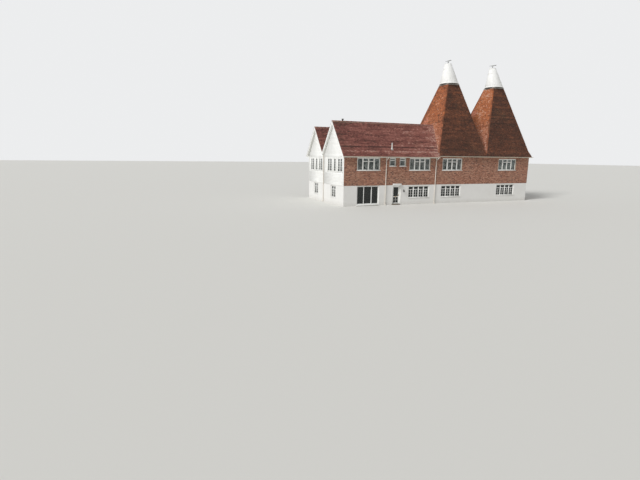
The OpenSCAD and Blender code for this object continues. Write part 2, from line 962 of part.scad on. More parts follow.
module front_door_frame() {
    bracket_h = 20;
    color("white")
        place() {
            front_plate(door_back, door_frame_d)
                difference() {
                    translate([door_x, slab_t])
                        square([door_frame_w, lower_h - slab_t]);
                    translate([door_x + jamb_w, slab_t - cut])
                        square([door_frame_w - 2 * jamb_w, lower_h - slab_t - jamb_w + cut]);
                }
            for (z = hinge_z) {
                hinge_bracket(z - seat_gap - bracket_h, bracket_h);
                hinge_bracket(z + knuckle_l + seat_gap, bracket_h);
                translate([hinge_x, hinge_y, z - seat_gap - bracket_h])
                    cylinder(h = knuckle_l + 2 * (seat_gap + bracket_h), r = pin_r);
            }
            translate([door_x + (door_frame_w - hood_w) / 2, -hood_out, lower_h])
                cube([hood_w, hood_out, hood_t]);
        }
}

module front_door() {
    color("white")
        place()
            difference() {
                union() {
                    front_plate(leaf_y, leaf_t)
                        difference() {
                            translate([leaf_x, leaf_z])
                                square([leaf_w, leaf_h]);
                            translate([leaf_x + stile_w, leaf_z + stile_w])
                                square([leaf_w - 2 * stile_w, leaf_h - 2 * stile_w]);
                        }
                    for (z = hinge_z) {
                        translate([hinge_x, hinge_y, z])
                            cylinder(h = knuckle_l, r = knuckle_r);
                        translate([hinge_x, hinge_y - hinge_off, z])
                            cube([2 * knuckle_r, hinge_off, knuckle_l]);
                    }
                }
                translate([hinge_x, hinge_y, leaf_z])
                    cylinder(h = leaf_h, r = pin_r + seat_gap);
            }
}

module front_door_glass() {
    color("slategray")
        place()
            translate([leaf_x + stile_w, leaf_y + (leaf_t - glass_t) / 2, leaf_z + stile_w])
                cube([leaf_w - 2 * stile_w, glass_t, leaf_h - 2 * stile_w]);
}

// Patio door

// Outline of a panel: a ring of stiles and rails
module panel_outline(w, h) {
    difference() {
        square([w, h]);
        translate([patio_stile_w, patio_stile_w])
            square([w - 2 * patio_stile_w, h - 2 * patio_stile_w]);
    }
}

module patio_door_frame() {
    inner_h = lower_h - slab_t - 2 * patio_frame_w;
    color("white")
        place() {
            front_plate(door_back, patio_d)
                difference() {
                    translate([patio_x, slab_t])
                        square([patio_w, lower_h - slab_t]);
                    translate([patio_x + patio_frame_w, slab_t + patio_frame_w])
                        square([patio_w - 2 * patio_frame_w, inner_h]);
                }
            for (i = [0, 2])
                translate([patio_x + patio_frame_w + i * patio_light_w, 0, slab_t + patio_frame_w])
                    front_plate(fixed_y, panel_t)
                        panel_outline(patio_light_w, inner_h);
            translate([patio_x + patio_frame_w, slider_y + (panel_t - track_w) / 2, slab_t + patio_frame_w])
                cube([patio_w - 2 * patio_frame_w, track_w, track_h]);
        }
}

module patio_pane(x) {
    inner_h = lower_h - slab_t - 2 * patio_frame_w;
    translate([x + patio_stile_w, fixed_y + (panel_t - glass_t) / 2,
        slab_t + patio_frame_w + patio_stile_w])
        cube([patio_light_w - 2 * patio_stile_w, glass_t, inner_h - 2 * patio_stile_w]);
}

module patio_sliding_door() {
    color("white")
        place()
            translate([slider_x, 0, slider_z])
                front_plate(slider_y, panel_t)
                    panel_outline(slider_w, slider_h);
}

module patio_sliding_glass() {
    color("slategray")
        place()
            translate([slider_x + patio_stile_w, slider_y + (panel_t - glass_t) / 2,
                slider_z + patio_stile_w])
                cube([slider_w - 2 * patio_stile_w, glass_t, slider_h - 2 * patio_stile_w]);
}

// Trim

// Half-round channel outline, its rim at the origin's height
module gutter_outline() {
    difference() {
        circle(r = gutter_r);
        circle(r = gutter_r - gutter_t);
        translate([-gutter_r - cut, 0])
            square([2 * (gutter_r + cut), gutter_r + cut]);
    }
}

module gutter_x(x0, x1, y, z) {
    side_plate(x0, x1 - x0)
        translate([y, z])
            gutter_outline();
}

module gutter_y(y0, y1, x, z) {
    front_plate(y0, y1 - y0)
        translate([x, z])
            gutter_outline();
}

module gutters() {
    kiln_rim = kiln_wall_h + kiln_tip_t;
    kiln_start_x = range_l + gutter_t;
    kiln_end_x = total_l + kiln_over;
    color("antiquewhite")
        place() {
            gutter_x(roof_x, range_l - gutter_r, -eaves_over - gutter_r, tip_h);
            gutter_x(roof_x, roof_x + rear_roof_l, all_w + eaves_over + gutter_r, tip_h);
            gutter_x(kiln_start_x, kiln_end_x + 2 * gutter_r, -kiln_over - gutter_r, kiln_rim);
            gutter_x(kiln_start_x, kiln_end_x + 2 * gutter_r, kiln_w + kiln_over + gutter_r, kiln_rim);
            gutter_y(-kiln_over, kiln_w + kiln_over, kiln_end_x + gutter_r, kiln_rim);
        }
}

// A downpipe from the ground up to the soffit
module downpipe(x, y, top) {
    translate([x, y, 0])
        cylinder(h = top, r = pipe_r);
}

module downpipes() {
    off = pipe_r + pipe_gap;
    color("antiquewhite")
        place() {
            for (x = pipe_x, y = [-off, all_w + off])
                downpipe(x, y, soffit_h);
            downpipe(-off, front_w, inner_valley_h);
            downpipe(total_l + off, kiln_pipe_y, kiln_wall_h);
        }
}

// Boards on the west verges: two joined chevrons whose feet stop at the soffits
module bargeboards() {
    top = [for (p = [[-eaves_over, tip_h], [ridge_1_y, ridge_1_h], [front_w, valley_h],
        [ridge_2_y, ridge_2_h], [all_w + eaves_over, tip_h]]) [p[0], p[1] - barge_drop]];
    foot = (soffit_h - top[0][1] + barge_h) / slope;
    bottom = [[all_w + eaves_over, soffit_h], [all_w + eaves_over - foot, soffit_h],
        [ridge_2_y, top[3][1] - barge_h], [front_w, top[2][1] - barge_h],
        [ridge_1_y, top[1][1] - barge_h], [foot - eaves_over, soffit_h], [-eaves_over, soffit_h]];
    color("white")
        place()
            side_plate(-verge_over, barge_t)
                polygon(concat(top, bottom));
}

// White pipe that stands upright out of the front slope
module vent_pipe() {
    base_h = valley_h + slope * vent_y;
    color("white")
        place()
            difference() {
                translate([vent_x, vent_y, base_h - 2 * vent_r])
                    cylinder(h = vent_l + 2 * vent_r, r = vent_r);
                side_plate(vent_x - 2 * vent_r, 4 * vent_r)
                    polygon([[0, 0], [ridge_1_y, 0], [ridge_1_y, ridge_1_h + seat_gap],
                        [0, valley_h + seat_gap]]);
            }
}

// Back plate, arm and body of the lantern beside the front door
module wall_lantern() {
    color("black")
        place()
            translate([lantern_x, 0, lantern_z])
                union() {
                    translate([-lamp_r / 2, -lamp_plate_t, lamp_h / 4])
                        cube([lamp_r, lamp_plate_t, lamp_h / 2]);
                    translate([-lamp_plate_t / 2, -lamp_out, lamp_h / 2 - lamp_plate_t / 2])
                        cube([lamp_plate_t, lamp_out, lamp_plate_t]);
                    translate([0, -lamp_out, 0])
                        cylinder(h = lamp_h, r = lamp_r, $fn = 6);
                }
}

ground_floor();
first_floor();
valley_beam();
front_wall_left();
front_wall_middle();
front_wall_right();
kiln_front_wall_lower();
west_wall_lower();
rear_wall_lower();
east_wall_lower();
kiln_east_wall_lower();
kiln_rear_wall_lower();
front_wall_upper();
kiln_front_wall_upper();
west_gable_front();
west_gable_rear();
rear_wall_upper();
east_gable();
kiln_east_wall_upper();
kiln_rear_wall_upper();
kiln_inner_walls();
front_roof_south();
front_roof_north();
rear_roof_south();
rear_roof_north();
kiln_1_roof_front_rear();
kiln_1_roof_sides();
kiln_2_roof_front_rear();
kiln_2_roof_sides();
cowl_bearings();
cowl_1();
vane_1();
cowl_2();
vane_2();
window_frames();
window_glass();
front_door_frame();
front_door();
front_door_glass();
patio_door_frame();
patio_sliding_door();
patio_sliding_glass();
gutters();
downpipes();
bargeboards();
vent_pipe();
wall_lantern();
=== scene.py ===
# %% [markdown]
# An oast house is a farm building in which hops were dried. Air rose through the square kilns and
# left at the top through white wooden cowls that turn their backs to the wind. The plain solids
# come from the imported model. Here each of them gets its tiles, bricks, boards, bars and paint.

# %% Load the frame
import math
import bpy
import numpy as np
from mathutils import Matrix, Vector


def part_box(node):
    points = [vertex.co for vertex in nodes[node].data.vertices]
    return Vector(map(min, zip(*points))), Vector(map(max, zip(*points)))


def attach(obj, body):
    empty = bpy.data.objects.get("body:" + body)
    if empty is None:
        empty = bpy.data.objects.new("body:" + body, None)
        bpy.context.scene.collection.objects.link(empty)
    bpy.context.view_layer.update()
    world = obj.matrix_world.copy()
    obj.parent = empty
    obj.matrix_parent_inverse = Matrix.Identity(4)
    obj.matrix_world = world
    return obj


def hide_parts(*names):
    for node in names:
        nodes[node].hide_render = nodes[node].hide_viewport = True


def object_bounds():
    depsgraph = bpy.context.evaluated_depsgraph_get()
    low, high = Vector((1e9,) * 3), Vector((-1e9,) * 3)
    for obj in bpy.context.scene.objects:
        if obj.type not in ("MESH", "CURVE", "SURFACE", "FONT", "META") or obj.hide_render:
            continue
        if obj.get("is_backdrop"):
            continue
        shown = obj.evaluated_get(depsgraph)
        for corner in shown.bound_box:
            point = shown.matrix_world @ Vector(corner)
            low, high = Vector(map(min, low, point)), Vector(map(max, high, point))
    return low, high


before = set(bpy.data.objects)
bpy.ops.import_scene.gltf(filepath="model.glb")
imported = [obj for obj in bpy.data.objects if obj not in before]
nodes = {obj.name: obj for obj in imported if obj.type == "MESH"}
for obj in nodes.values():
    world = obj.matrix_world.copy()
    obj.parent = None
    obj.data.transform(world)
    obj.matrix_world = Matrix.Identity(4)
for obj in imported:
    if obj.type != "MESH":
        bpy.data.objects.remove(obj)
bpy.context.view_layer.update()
rng = np.random.default_rng(1870)
UP = Vector((0, 0, 1))

# %% [markdown]
# Nothing is fitted by eye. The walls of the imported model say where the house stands, and the few
# sizes that a box cannot tell, such as the pitch of the roofs, are named here once. Range 0 is the
# front one and range 1 the rear one, and kiln 0 is the one beside them.

# %% Sizes of the house
west_x, front_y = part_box("west_wall_lower")[0][:2]
rear_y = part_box("west_wall_lower")[1].y
kiln_x, east_x = (corner.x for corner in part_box("kiln_front_wall_lower"))
kiln_rear_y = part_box("kiln_rear_wall_lower")[1].y
kiln_w = kiln_rear_y - front_y
valley_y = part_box("west_gable_front")[1].y
storey_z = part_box("front_wall_upper")[0].z
soffit_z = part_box("front_roof_south")[0].z
ridge_z = [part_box("front_roof_south")[1].z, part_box("rear_roof_north")[1].z]
ridge_y = [(front_y + valley_y) / 2, (valley_y + rear_y) / 2]
kiln_wall_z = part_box("kiln_front_wall_upper")[1].z
kiln_top_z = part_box("kiln_1_roof_sides")[1].z
verge_x, barge_x = (corner.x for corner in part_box("bargeboards"))
rear_end_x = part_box("rear_roof_north")[1].x
eaves_over = front_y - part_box("front_roof_south")[0].y
kiln_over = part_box("kiln_2_roof_sides")[1].x - east_x
kiln_axis = [Vector((kiln_x + (i + 0.5) * kiln_w, front_y + kiln_w / 2, 0)) for i in (0, 1)]
pitch = math.radians(49.4)
rise = math.tan(pitch)
valley_z = ridge_z[0] - rise * (ridge_y[0] - front_y)
eaves_z = valley_z - rise * eaves_over
# Level distance from the ridge of each range to the foot of its south (-1) and north (1) slope
slope_run = {(0, -1): eaves_over + ridge_y[0] - front_y, (0, 1): valley_y - ridge_y[0],
             (1, -1): ridge_y[1] - valley_y, (1, 1): eaves_over + rear_y - ridge_y[1]}
kiln_top_w, hip_foot, sprocket_h, kiln_tip = 1.45, 0.37, 0.7, 0.06
roof_t = 0.2
kiln_roof_h = kiln_top_z - kiln_wall_z
kiln_k =(kiln_w - kiln_top_w) / 2 / (kiln_roof_h - hip_foot)
print("ranges", round(kiln_x - west_x, 2), "kilns", round(kiln_w, 2), "valley", round(valley_z, 3))

# %% [markdown]
# The camera stands where the photograph was taken from, on a rise south-west of the house. Its
# place, turn and lens were worked out from the corners of the building.

# %% Camera
turn_right, look_down, roll = (math.radians(angle) for angle in (20.990, 11.216, 0.553))
focal_px, photo_w = 415.264, 640

bpy.ops.object.camera_add(location=(-28.890, -42.938, 4.784))
camera = bpy.context.object
camera.name = "camera"
camera.rotation_euler = (Matrix.Rotation(-turn_right, 3, "Z")
                         @ Matrix.Rotation(math.pi / 2 - look_down, 3, "X")
                         @ Matrix.Rotation(roll, 3, "Z")).to_euler()
camera.data.lens = focal_px * camera.data.sensor_width / photo_w
camera.data.clip_end = 1000
bpy.context.scene.camera = camera
print("lens", round(camera.data.lens, 2), "mm")

# %% [markdown]
# A material is built from a few nodes. These functions add them to the material that was started
# last, and one turns a colour written as on a paint chart into the linear light that Blender mixes.

# %% Helpers for materials
def hex_colour(text):
    """Linear RGBA of an sRGB colour such as 8a5a4b."""
    parts = [int(text[i:i + 2], 16) / 255 for i in (0, 2, 4)]
    return [c / 12.92 if c <= 0.04045 else ((c + 0.055) / 1.055) ** 2.4 for c in parts] + [1]


def fill(socket, value):
    """Gives an input a value, a colour as text, or a link from another node."""
    if isinstance(value, bpy.types.NodeSocket):
        tree.links.new(value, socket)
    else:
        socket.default_value = hex_colour(value) if isinstance(value, str) else value


def add_node(kind, settings=None, **inputs):
    """Adds a node. Its inputs are given by name, or by i and a number."""
    made = tree.nodes.new("ShaderNode" + kind)
    for key, value in (settings or {}).items():
        setattr(made, key, value)
    for key, value in inputs.items():
        fill(made.inputs[int(key[1:]) if key[1:].isdigit() else key.replace("_", " ")], value)
    return made


def object_place(scale=(1, 1, 1)):
    """Object coordinates, stretched so that a pattern can run along one direction."""
    coordinates = tree.nodes.new("ShaderNodeTexCoord").outputs["Object"]
    return add_node("Mapping", Vector=coordinates, Scale=scale).outputs[0]


def new_material(name, **shader):
    """Starts a material whose shader has these plain values."""
    global tree, surface, place
    made = bpy.data.materials.new(name)
    made.use_nodes = True
    tree = made.node_tree
    surface = tree.nodes["Principled BSDF"]
    for key, value in shader.items():
        fill(surface.inputs[key.replace("_", " ")], value)
    place = object_place()
    return made


def spots(size, detail=3.0, where=None):
    """Cloudy noise whose patches are about size metres across, as a number from 0 to 1."""
    return add_node("TexNoise", Vector=place if where is None else where, Scale=1 / size,
                    Detail=detail, Roughness=0.55).outputs[0]


def own_tone():
    """The number that each tile, brick or board carries."""
    return add_node("Attribute", {"attribute_name": "tone"}).outputs["Fac"]


def height():
    return add_node("SeparateXYZ", Vector=place).outputs["Z"]


def combine(how, first, second, **settings):
    """Two numbers put together by ADD, SUBTRACT or MULTIPLY."""
    return add_node("Math", {"operation": how, **settings}, i0=first, i1=second).outputs[0]


def between(value, low, high, to_low=0.0, to_high=1.0):
    """Spreads the part of a value from low to high over a new range."""
    return add_node("MapRange", i0=value, i1=low, i2=high, i3=to_low, i4=to_high).outputs[0]


def ramp(value, stops):
    """Colours along a value: stops are (position, colour as text)."""
    made = add_node("ValToRGB", i0=value)
    band = made.color_ramp
    while len(band.elements) < len(stops):
        band.elements.new(1)
    for element, (position, colour) in zip(band.elements, stops):
        element.position = position
        element.color = hex_colour(colour)
    return made.outputs[0]


def blend(share, first, second):
    """Two colours mixed by a share."""
    return add_node("Mix", {"data_type": "RGBA"}, i0=share, i6=first, i7=second).outputs[2]


def finished(colour, relief, depth, strength):
    """Gives the shader its colour, and a relief with a real depth in metres."""
    fill(surface.inputs["Base Color"], colour)
    bump = add_node("Bump", Height=relief, Distance=depth, Strength=strength)
    fill(surface.inputs["Normal"], bump.outputs[0])


def two_tone(name, first, second, patch, spread, relief, **shader):
    """Two colours in cloudy patches. patch is their size and detail, and relief its size, detail,
    depth and strength."""
    made = new_material(name, **shader)
    finished(blend(between(spots(*patch), *spread), first, second), spots(*relief[:2]), *relief[2:])
    return made


print("helpers for materials are ready")

# %% [markdown]
# The upper walls are of soft red-brown bricks, fired in a clamp, so no two have quite the same
# colour. Each brick here is a block of its own and carries a number called tone. The ramp turns
# it into the reds, browns and the odd dark burnt header, and noise adds the sand-faced skin. Lime
# mortar lies a few millimetres behind the bricks. It is the surface of the CAD wall itself. The
# fillets on the roofs are of the same stuff, but years of rain off the clay have stained them.

# %% Brick and mortar
brick_finish = new_material("fired clamp brick", Roughness=0.9, Specular_IOR_Level=0.3)
colour = ramp(own_tone(), [(0.0, "55393a"), (0.12, "7c5145"), (0.4, "9b6853"),
                           (0.7, "b5806a"), (0.9, "cb9a82"), (1.0, "9a7466")])
colour = blend(between(spots(0.05), 0.35, 0.7, 0, 0.35), colour, "7d5548")
colour = blend(between(spots(1.6), 0.5, 0.8, 0, 0.3), colour, "8e8070")
finished(colour, spots(0.006, 2), 0.0015, 0.6)

lime = {"patch": (0.02,), "spread": (0.3, 0.7), "relief": (0.003, 2, 0.001, 0.5), "Roughness": 0.95,
        "Specular_IOR_Level": 0.2}
mortar_finish = two_tone("lime mortar", "b3a593", "9a8a78", **lime)
fillet_finish = two_tone("lime mortar stained by clay", "b08f80", "8c6e62", **lime)
print("brick and mortar")

# %% [markdown]
# Plain roof tiles are pressed clay with a sanded face. On the ranges they are plum-brown. On the
# kilns the dark half of the colours is for the south, east and north sides, partly weathering and
# partly painted shade, and the bright half for the west sides, partly painted light from the sun.
# The palest are splashed with lime. Low down the kiln tiles are bleached pink, and two small
# patches were once mended with new ones. Lichen shows as dull spots, and moss gathers in a few
# patches. The felt under the tiles hardly shows, only as a dark line.

# %% Clay tiles and felt
def clay_tile(name, stops, drifting, pale_foot, repairs=()):
    made = new_material(name, Roughness=0.85, Specular_IOR_Level=0.35)
    drift = between(spots(1.4, 4), 0.3, 0.7, -drifting, drifting)
    tone = combine("ADD", own_tone(), drift, use_clamp=True)
    colour = ramp(tone, stops)
    low_down = between(height(), 5.0, 9.5, pale_foot, 0)
    bleached = combine("MULTIPLY", low_down, between(tone, 0.3, 0.7, 0.06, 1))
    chalky = blend(between(tone, 0.48, 0.85), "7a5146", "bd9c92")
    colour = blend(bleached, colour, chalky)
    for centre in repairs:
        away = add_node("VectorMath", {"operation": "DISTANCE"}, i0=place, i1=centre).outputs["Value"]
        share = combine("MULTIPLY", between(away, 0.2, 0.6, 0.9, 0), between(spots(0.2, 2), 0.4, 0.5))
        colour = blend(share, colour, "de9178")
    colour = blend(between(spots(0.035, 2), 0.62, 0.7, 0, 0.45), colour, "a39a86")
    colour = blend(between(spots(2.6, 5), 0.55, 0.75, 0, 0.25), colour, "4d4a38")
    finished(colour, spots(0.004, 3), 0.0012, 0.5)
    return made


range_tile_finish = clay_tile("weathered plum clay tile", [
    (0.0, "4c2f2a"), (0.25, "6d413a"), (0.5, "845149"), (0.75, "9b675b"), (1.0, "b99386")], 0.1, 0)
kiln_tile_finish = clay_tile("weathered orange clay tile", [
    (0.0, "3a261e"), (0.25, "5b3829"), (0.42, "7a4a33"), (0.55, "97583a"), (0.7, "b0673f"),
    (0.82, "b66e46"), (0.92, "bb7c57"), (1.0, "c89a82")], 0.08, 0.6,
    [(0.247, -0.857, 9.03), (7.012, -0.806, 10.155)])
felt_finish = two_tone("roofing felt", "2b2624", "3a322e", (0.05,), (0, 1), (0.004, 3, 0.0005, 0.4),
                       Roughness=0.95)
print("clay tiles and felt")

# %% [markdown]
# White exterior paint covers masonry, boards and joinery. On masonry it is matt over brickwork,
# whose joints still show as a faint relief, and dirt splashes up from the ground. On wood it has a
# low gloss and fine brush marks along the grain.

# %% Exterior paints
masonry_finish = new_material("masonry paint on brickwork", Roughness=0.8)
parts = add_node("SeparateXYZ", Vector=place).outputs
grime = combine("MULTIPLY", between(parts["Z"], 0.0, 0.45, 0.4, 0.0), spots(0.12, 4))
colour = blend(between(spots(0.9, 4), 0.4, 0.8, 0, 0.25), "e8e7e4", "d0cec7")
colour = blend(grime, colour, "8a8272")
flat = add_node("CombineXYZ", X=combine("ADD", parts["X"], parts["Y"]), Y=parts["Z"]).outputs[0]
joints = add_node("TexBrick", Vector=flat, Scale=1, Brick_Width=0.225, Row_Height=0.075,
                  Mortar_Size=0.006, Mortar_Smooth=0.6).outputs["Fac"]
relief = add_node("Math", {"operation": "MULTIPLY_ADD"}, i0=spots(0.012, 3), i1=0.4,
                  i2=combine("SUBTRACT", 1.0, joints)).outputs[0]
finished(colour, relief, 0.002, 0.7)


def painted_wood(name, tint, stain, roughness=0.45, grain=(6, 6, 90)):
    made = new_material(name, Roughness=roughness)
    colour = blend(between(spots(0.35, 5), 0.45, 0.8, 0, 0.4), tint, stain)
    colour = blend(between(own_tone(), 0.2, 1, 0, 0.25), colour, stain)
    finished(colour, spots(1.0, 3, object_place(grain)), 0.0006, 0.35)
    return made


board_finish = painted_wood("gloss paint on weatherboards", "f2f2ef", "dad8d2")
joinery_finish = painted_wood("gloss paint on joinery", "f5f5f2", "e3e2dc", 0.35, (60, 60, 60))
cowl_finish = painted_wood("white paint on cowl boards", "f4f4f2", "e2e1dc", 0.5, (30, 30, 4))
oak_finish = painted_wood("weathered oak", "8b7c68", "6f6252", 0.7, (8, 60, 60))
print("exterior paints")

# %% [markdown]
# The panes are old window glass in front of dark rooms. The shader lets light through and keeps a
# sharp reflection of the sky. Downstairs the glass is tinted dark grey, painted shade for the rooms
# behind. Upstairs they are paler in patches, partly because net curtains hang behind some of them and
# partly as painted reflection of the sky.
# The rainwater goods are cream painted and the lantern black iron. The iron vanes are painted a mid
# grey, lighter than the dark iron, as painted light for the glare of the sky round them. Lead is a
# soft grey metal with a white bloom, so it is rough.

# %% Glass, metals and painted iron
glass_finish = new_material("window glass", Roughness=0.03, IOR=1.5, Transmission_Weight=0.75)
# Painted shade and reflection: a dark tint low down for the dark rooms, and pale patches upstairs for net
# curtains and for painted reflection of the sky.
curtains_and_painted_reflection = blend(between(spots(0.35), 0.38, 0.62), "5c6867", "c2c8c5")
finished(blend(between(height(), 2.1, 2.4), "39423f", curtains_and_painted_reflection), spots(0.6, 1), 0.002, 0.15)


def painted_metal(name, tint, worn, roughness, metallic=0.0, patch=0.15):
    return two_tone(name, tint, worn, (patch, 5), (0.4, 0.75), (patch / 6, 3, 0.0006, 0.4),
                    Roughness=roughness, Metallic=metallic)


cream_finish = painted_metal("cream paint on cast iron", "dad3c1", "c6bda8", 0.4)
pipe_finish = painted_metal("pale cream paint on cast iron", "e6e0d6", "d6cec2", 0.4)
black_finish = painted_metal("black paint on wrought iron", "242425", "363130", 0.45)
# Painted light: the vanes are a mid grey that stands for the glare of the sky round the dark iron.
vane_paint_greyed_for_glare = painted_metal("iron vane paint greyed for glare", "62625f", "767370", 0.55)
# Weathered lead is pale, and this lead is also kept pale as painted light, to lift the shade under the cowl
# rims.
lead_lightened_as_painted_light = painted_metal("weathered sheet lead", "98938d", "aca7a0", 0.6, 0.15, 0.3)
vent_finish = painted_metal("white soil pipe", "e6e6e3", "cfcec9", 0.5)
brass_finish = painted_metal("lacquered brass", "b08d4a", "8f6f38", 0.3, 1.0, 0.03)
print("glass and metals")

# %% [markdown]
# Inside there are only a concrete ground floor, a boarded first floor and limewashed walls. They
# show through the windows, dark and plain.

# %% Inner finishes
concrete_finish = two_tone("trowelled concrete", "8f8a80", "a59f94", (0.4, 5), (0, 1),
                           (0.02, 3, 0.001, 0.4), Roughness=0.8)
limewash_finish = two_tone("limewash", "cfcbc0", "bdb8ab", (0.7, 5), (0, 1), (0.03, 3, 0.002, 0.4),
                           Roughness=0.9)
floor_finish = new_material("waxed pine boards", Roughness=0.5)
seams = add_node("TexWave", {"wave_type": "BANDS", "bands_direction": "Y"}, Vector=place, Scale=1.1,
                 Distortion=0.0).outputs[0]
finished(ramp(spots(0.4, 6, object_place((1, 7, 1))), [(0.3, "7d5a3c"), (0.7, "a27c54")]), seams, 0.001, 0.3)
print("finishes", len(bpy.data.materials))

# %% [markdown]
# The CAD nodes keep their shape and only change their finish. Each gets the material of what the
# real piece is made of, save the iron cowl bearings: they take the pale lead, as painted light in
# the shade under the cowl rims. Roofs get two: felt on top and white boards on their soffits and
# edges. So do the gables, as their ends lie behind the bricks of the front and the rear.

# %% Finishes on the CAD nodes
gable_names = "west_gable_front west_gable_rear east_gable"
roof_names = ("front_roof_south front_roof_north rear_roof_south rear_roof_north kiln_1_roof_front_rear "
              "kiln_1_roof_sides kiln_2_roof_front_rear kiln_2_roof_sides")
node_finishes = {
    concrete_finish: "ground_floor",
    floor_finish: "first_floor valley_beam",
    masonry_finish: "front_wall_left front_wall_middle front_wall_right kiln_front_wall_lower "
                    "west_wall_lower rear_wall_lower east_wall_lower kiln_east_wall_lower "
                    "kiln_rear_wall_lower",
    mortar_finish: "front_wall_upper kiln_front_wall_upper rear_wall_upper kiln_east_wall_upper "
                   "kiln_rear_wall_upper",
    board_finish: gable_names,
    limewash_finish: "kiln_inner_walls",
    felt_finish: roof_names,
    black_finish: "wall_lantern",
    vane_paint_greyed_for_glare: "vane_1 vane_2",
    # Painted light: the iron cowl bearings take the pale lead to lift the shade under the cowl rims.
    lead_lightened_as_painted_light: "cowl_bearings",
    cowl_finish: "cowl_1 cowl_2",
    joinery_finish: "window_frames front_door_frame front_door patio_door_frame patio_sliding_door "
                    "bargeboards",
    glass_finish: "window_glass front_door_glass patio_sliding_glass",
    cream_finish: "gutters",
    pipe_finish: "downpipes",
    vent_finish: "vent_pipe",
}
for finish, names in node_finishes.items():
    for name in names.split():
        nodes[name].data.materials.clear()
        nodes[name].data.materials.append(finish)


def second_finish(names, finish, test):
    """Adds a finish to some nodes, on the faces that pass a test."""
    for name in names.split():
        mesh = nodes[name].data
        mesh.materials.append(finish)
        for face in mesh.polygons:
            face.material_index = int(test(face))


second_finish(roof_names, board_finish, lambda face: face.normal.z < -0.3 or abs(face.normal.z) < 0.1)
second_finish(gable_names, mortar_finish,
              lambda face: face.center.y < front_y + 0.01 or face.center.y > rear_y - 0.01)
print("nodes with a finish", sum(len(names.split()) for names in node_finishes.values()), "of", len(nodes))

# %% [markdown]
# Most of a house is small things repeated: a tile, a brick, a board, a bar. Each is modelled once
# in edit mode as a block a metre long each way. Then it is stretched to each place while its
# bevels keep their size, as a joiner cuts many lengths from one moulding. Placing thousands of
# objects would be slow, so the copies are joined into one mesh as they are made, and each keeps
# its own tone.

# %% Helpers for pieces
def nothing_selected():
    if bpy.context.mode != "OBJECT":
        bpy.ops.object.mode_set(mode="OBJECT")
    bpy.ops.object.select_all(action="DESELECT")


def pick(piece, kind, test):
    """Selects the corners or edges of a piece whose middle passes a test, and edits it."""
    bpy.ops.object.mode_set(mode="EDIT")
    bpy.ops.mesh.select_mode(type=kind)
    bpy.ops.mesh.select_all(action="DESELECT")
    bpy.ops.object.mode_set(mode="OBJECT")
    corners = piece.data.vertices
    for part in corners if kind == "VERT" else piece.data.edges:
        ends = [part.index] if kind == "VERT" else part.vertices
        part.select = test(sum((corners[v].co for v in ends), Vector()) / len(ends))
    bpy.ops.object.mode_set(mode="EDIT")


def bevelled(piece, width, edges=lambda middle: True, segments=1):
    """Works the edges of a piece: all of them, or those whose middle passes a test."""
    pick(piece, "EDGE", edges)
    bpy.ops.mesh.bevel(offset=width, segments=segments, affect="EDGES")
    bpy.ops.object.mode_set(mode="OBJECT")
    return piece


def pattern_of(piece):
    """The corners and faces of a modelled piece, which is then put away."""
    corners = np.array([v.co for v in piece.data.vertices])
    faces = [list(f.vertices) for f in piece.data.polygons]
    bpy.data.objects.remove(piece)
    return corners, faces


def worked_block(width, edges=lambda middle: True):
    """Pattern of a cube a metre wide with worked edges."""
    nothing_selected()
    bpy.ops.mesh.primitive_cube_add(size=1)
    return pattern_of(bevelled(bpy.context.object, width, edges))


def stretched(pattern, parts):
    """Copies of a block, bevels kept. A part is the low and high end of each of its three sides."""
    corners, parts = pattern[0], np.array(parts, float)[:, None]
    side = np.sign(np.round(corners, 6))
    lows, highs = parts[..., 0::2], parts[..., 1::2]
    return (lows + highs) / 2 + side * (highs - lows) / 2 + (corners - side / 2)


def dressed(piece, name, finish, body="building"):
    """Gives a piece its name, its finish and the body it rides on, and prints its triangle count."""
    piece.name = piece.data.name = name
    piece.data.materials.clear()
    piece.data.materials.append(finish)
    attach(piece, body)
    print(name, sum(len(f.vertices) - 2 for f in piece.data.polygons), "triangles")
    return piece


def joined(name, corners, pattern, finish, body="building", tones=None):
    """One mesh of many copies: corners has a row of points for each copy."""
    count, size = corners.shape[:2]
    faces = pattern[1]
    loops = np.concatenate(faces)
    starts = np.cumsum([0] + [len(f) for f in faces[:-1]])
    copy = np.arange(count)[:, None]
    mesh = bpy.data.meshes.new(name)
    mesh.vertices.add(count * size)
    mesh.loops.add(count * len(loops))
    mesh.polygons.add(count * len(faces))
    mesh.vertices.foreach_set("co", corners.astype(np.float32).ravel())
    mesh.loops.foreach_set("vertex_index", (loops + copy * size).ravel().astype(np.int32))
    mesh.polygons.foreach_set("loop_start", (starts + copy * len(loops)).ravel().astype(np.int32))
    mesh.update(calc_edges=True)
    tones = rng.random(count) if tones is None else np.clip(tones, 0, 1)
    tone = mesh.attributes.new("tone", "FLOAT", "POINT")
    tone.data.foreach_set("value", np.repeat(tones, size).astype(np.float32))
    piece = bpy.data.objects.new(name, mesh)
    bpy.context.scene.collection.objects.link(piece)
    return dressed(piece, name, finish, body)


block = worked_block(0.004)
small_block = worked_block(0.0015)


def boxes(name, parts, finish, body="building", pattern=block):
    """A piece made of upright blocks."""
    return joined(name, stretched(pattern, parts), pattern, finish, body)


print("corners of a worked block", len(block[0]))

# %% [markdown]
# A plain tile is 265 by 165 mm and 13 mm thick, laid so that 100 mm of it shows. Its upper part
# lies under the courses above, so only the part that shows and a short lap are modelled. The
# lower edge, the tail, is bevelled, and each tile is tipped a little so that its tail stands proud.
# No tile lies quite true: each has slipped, lifted and tilted by its own small amount.

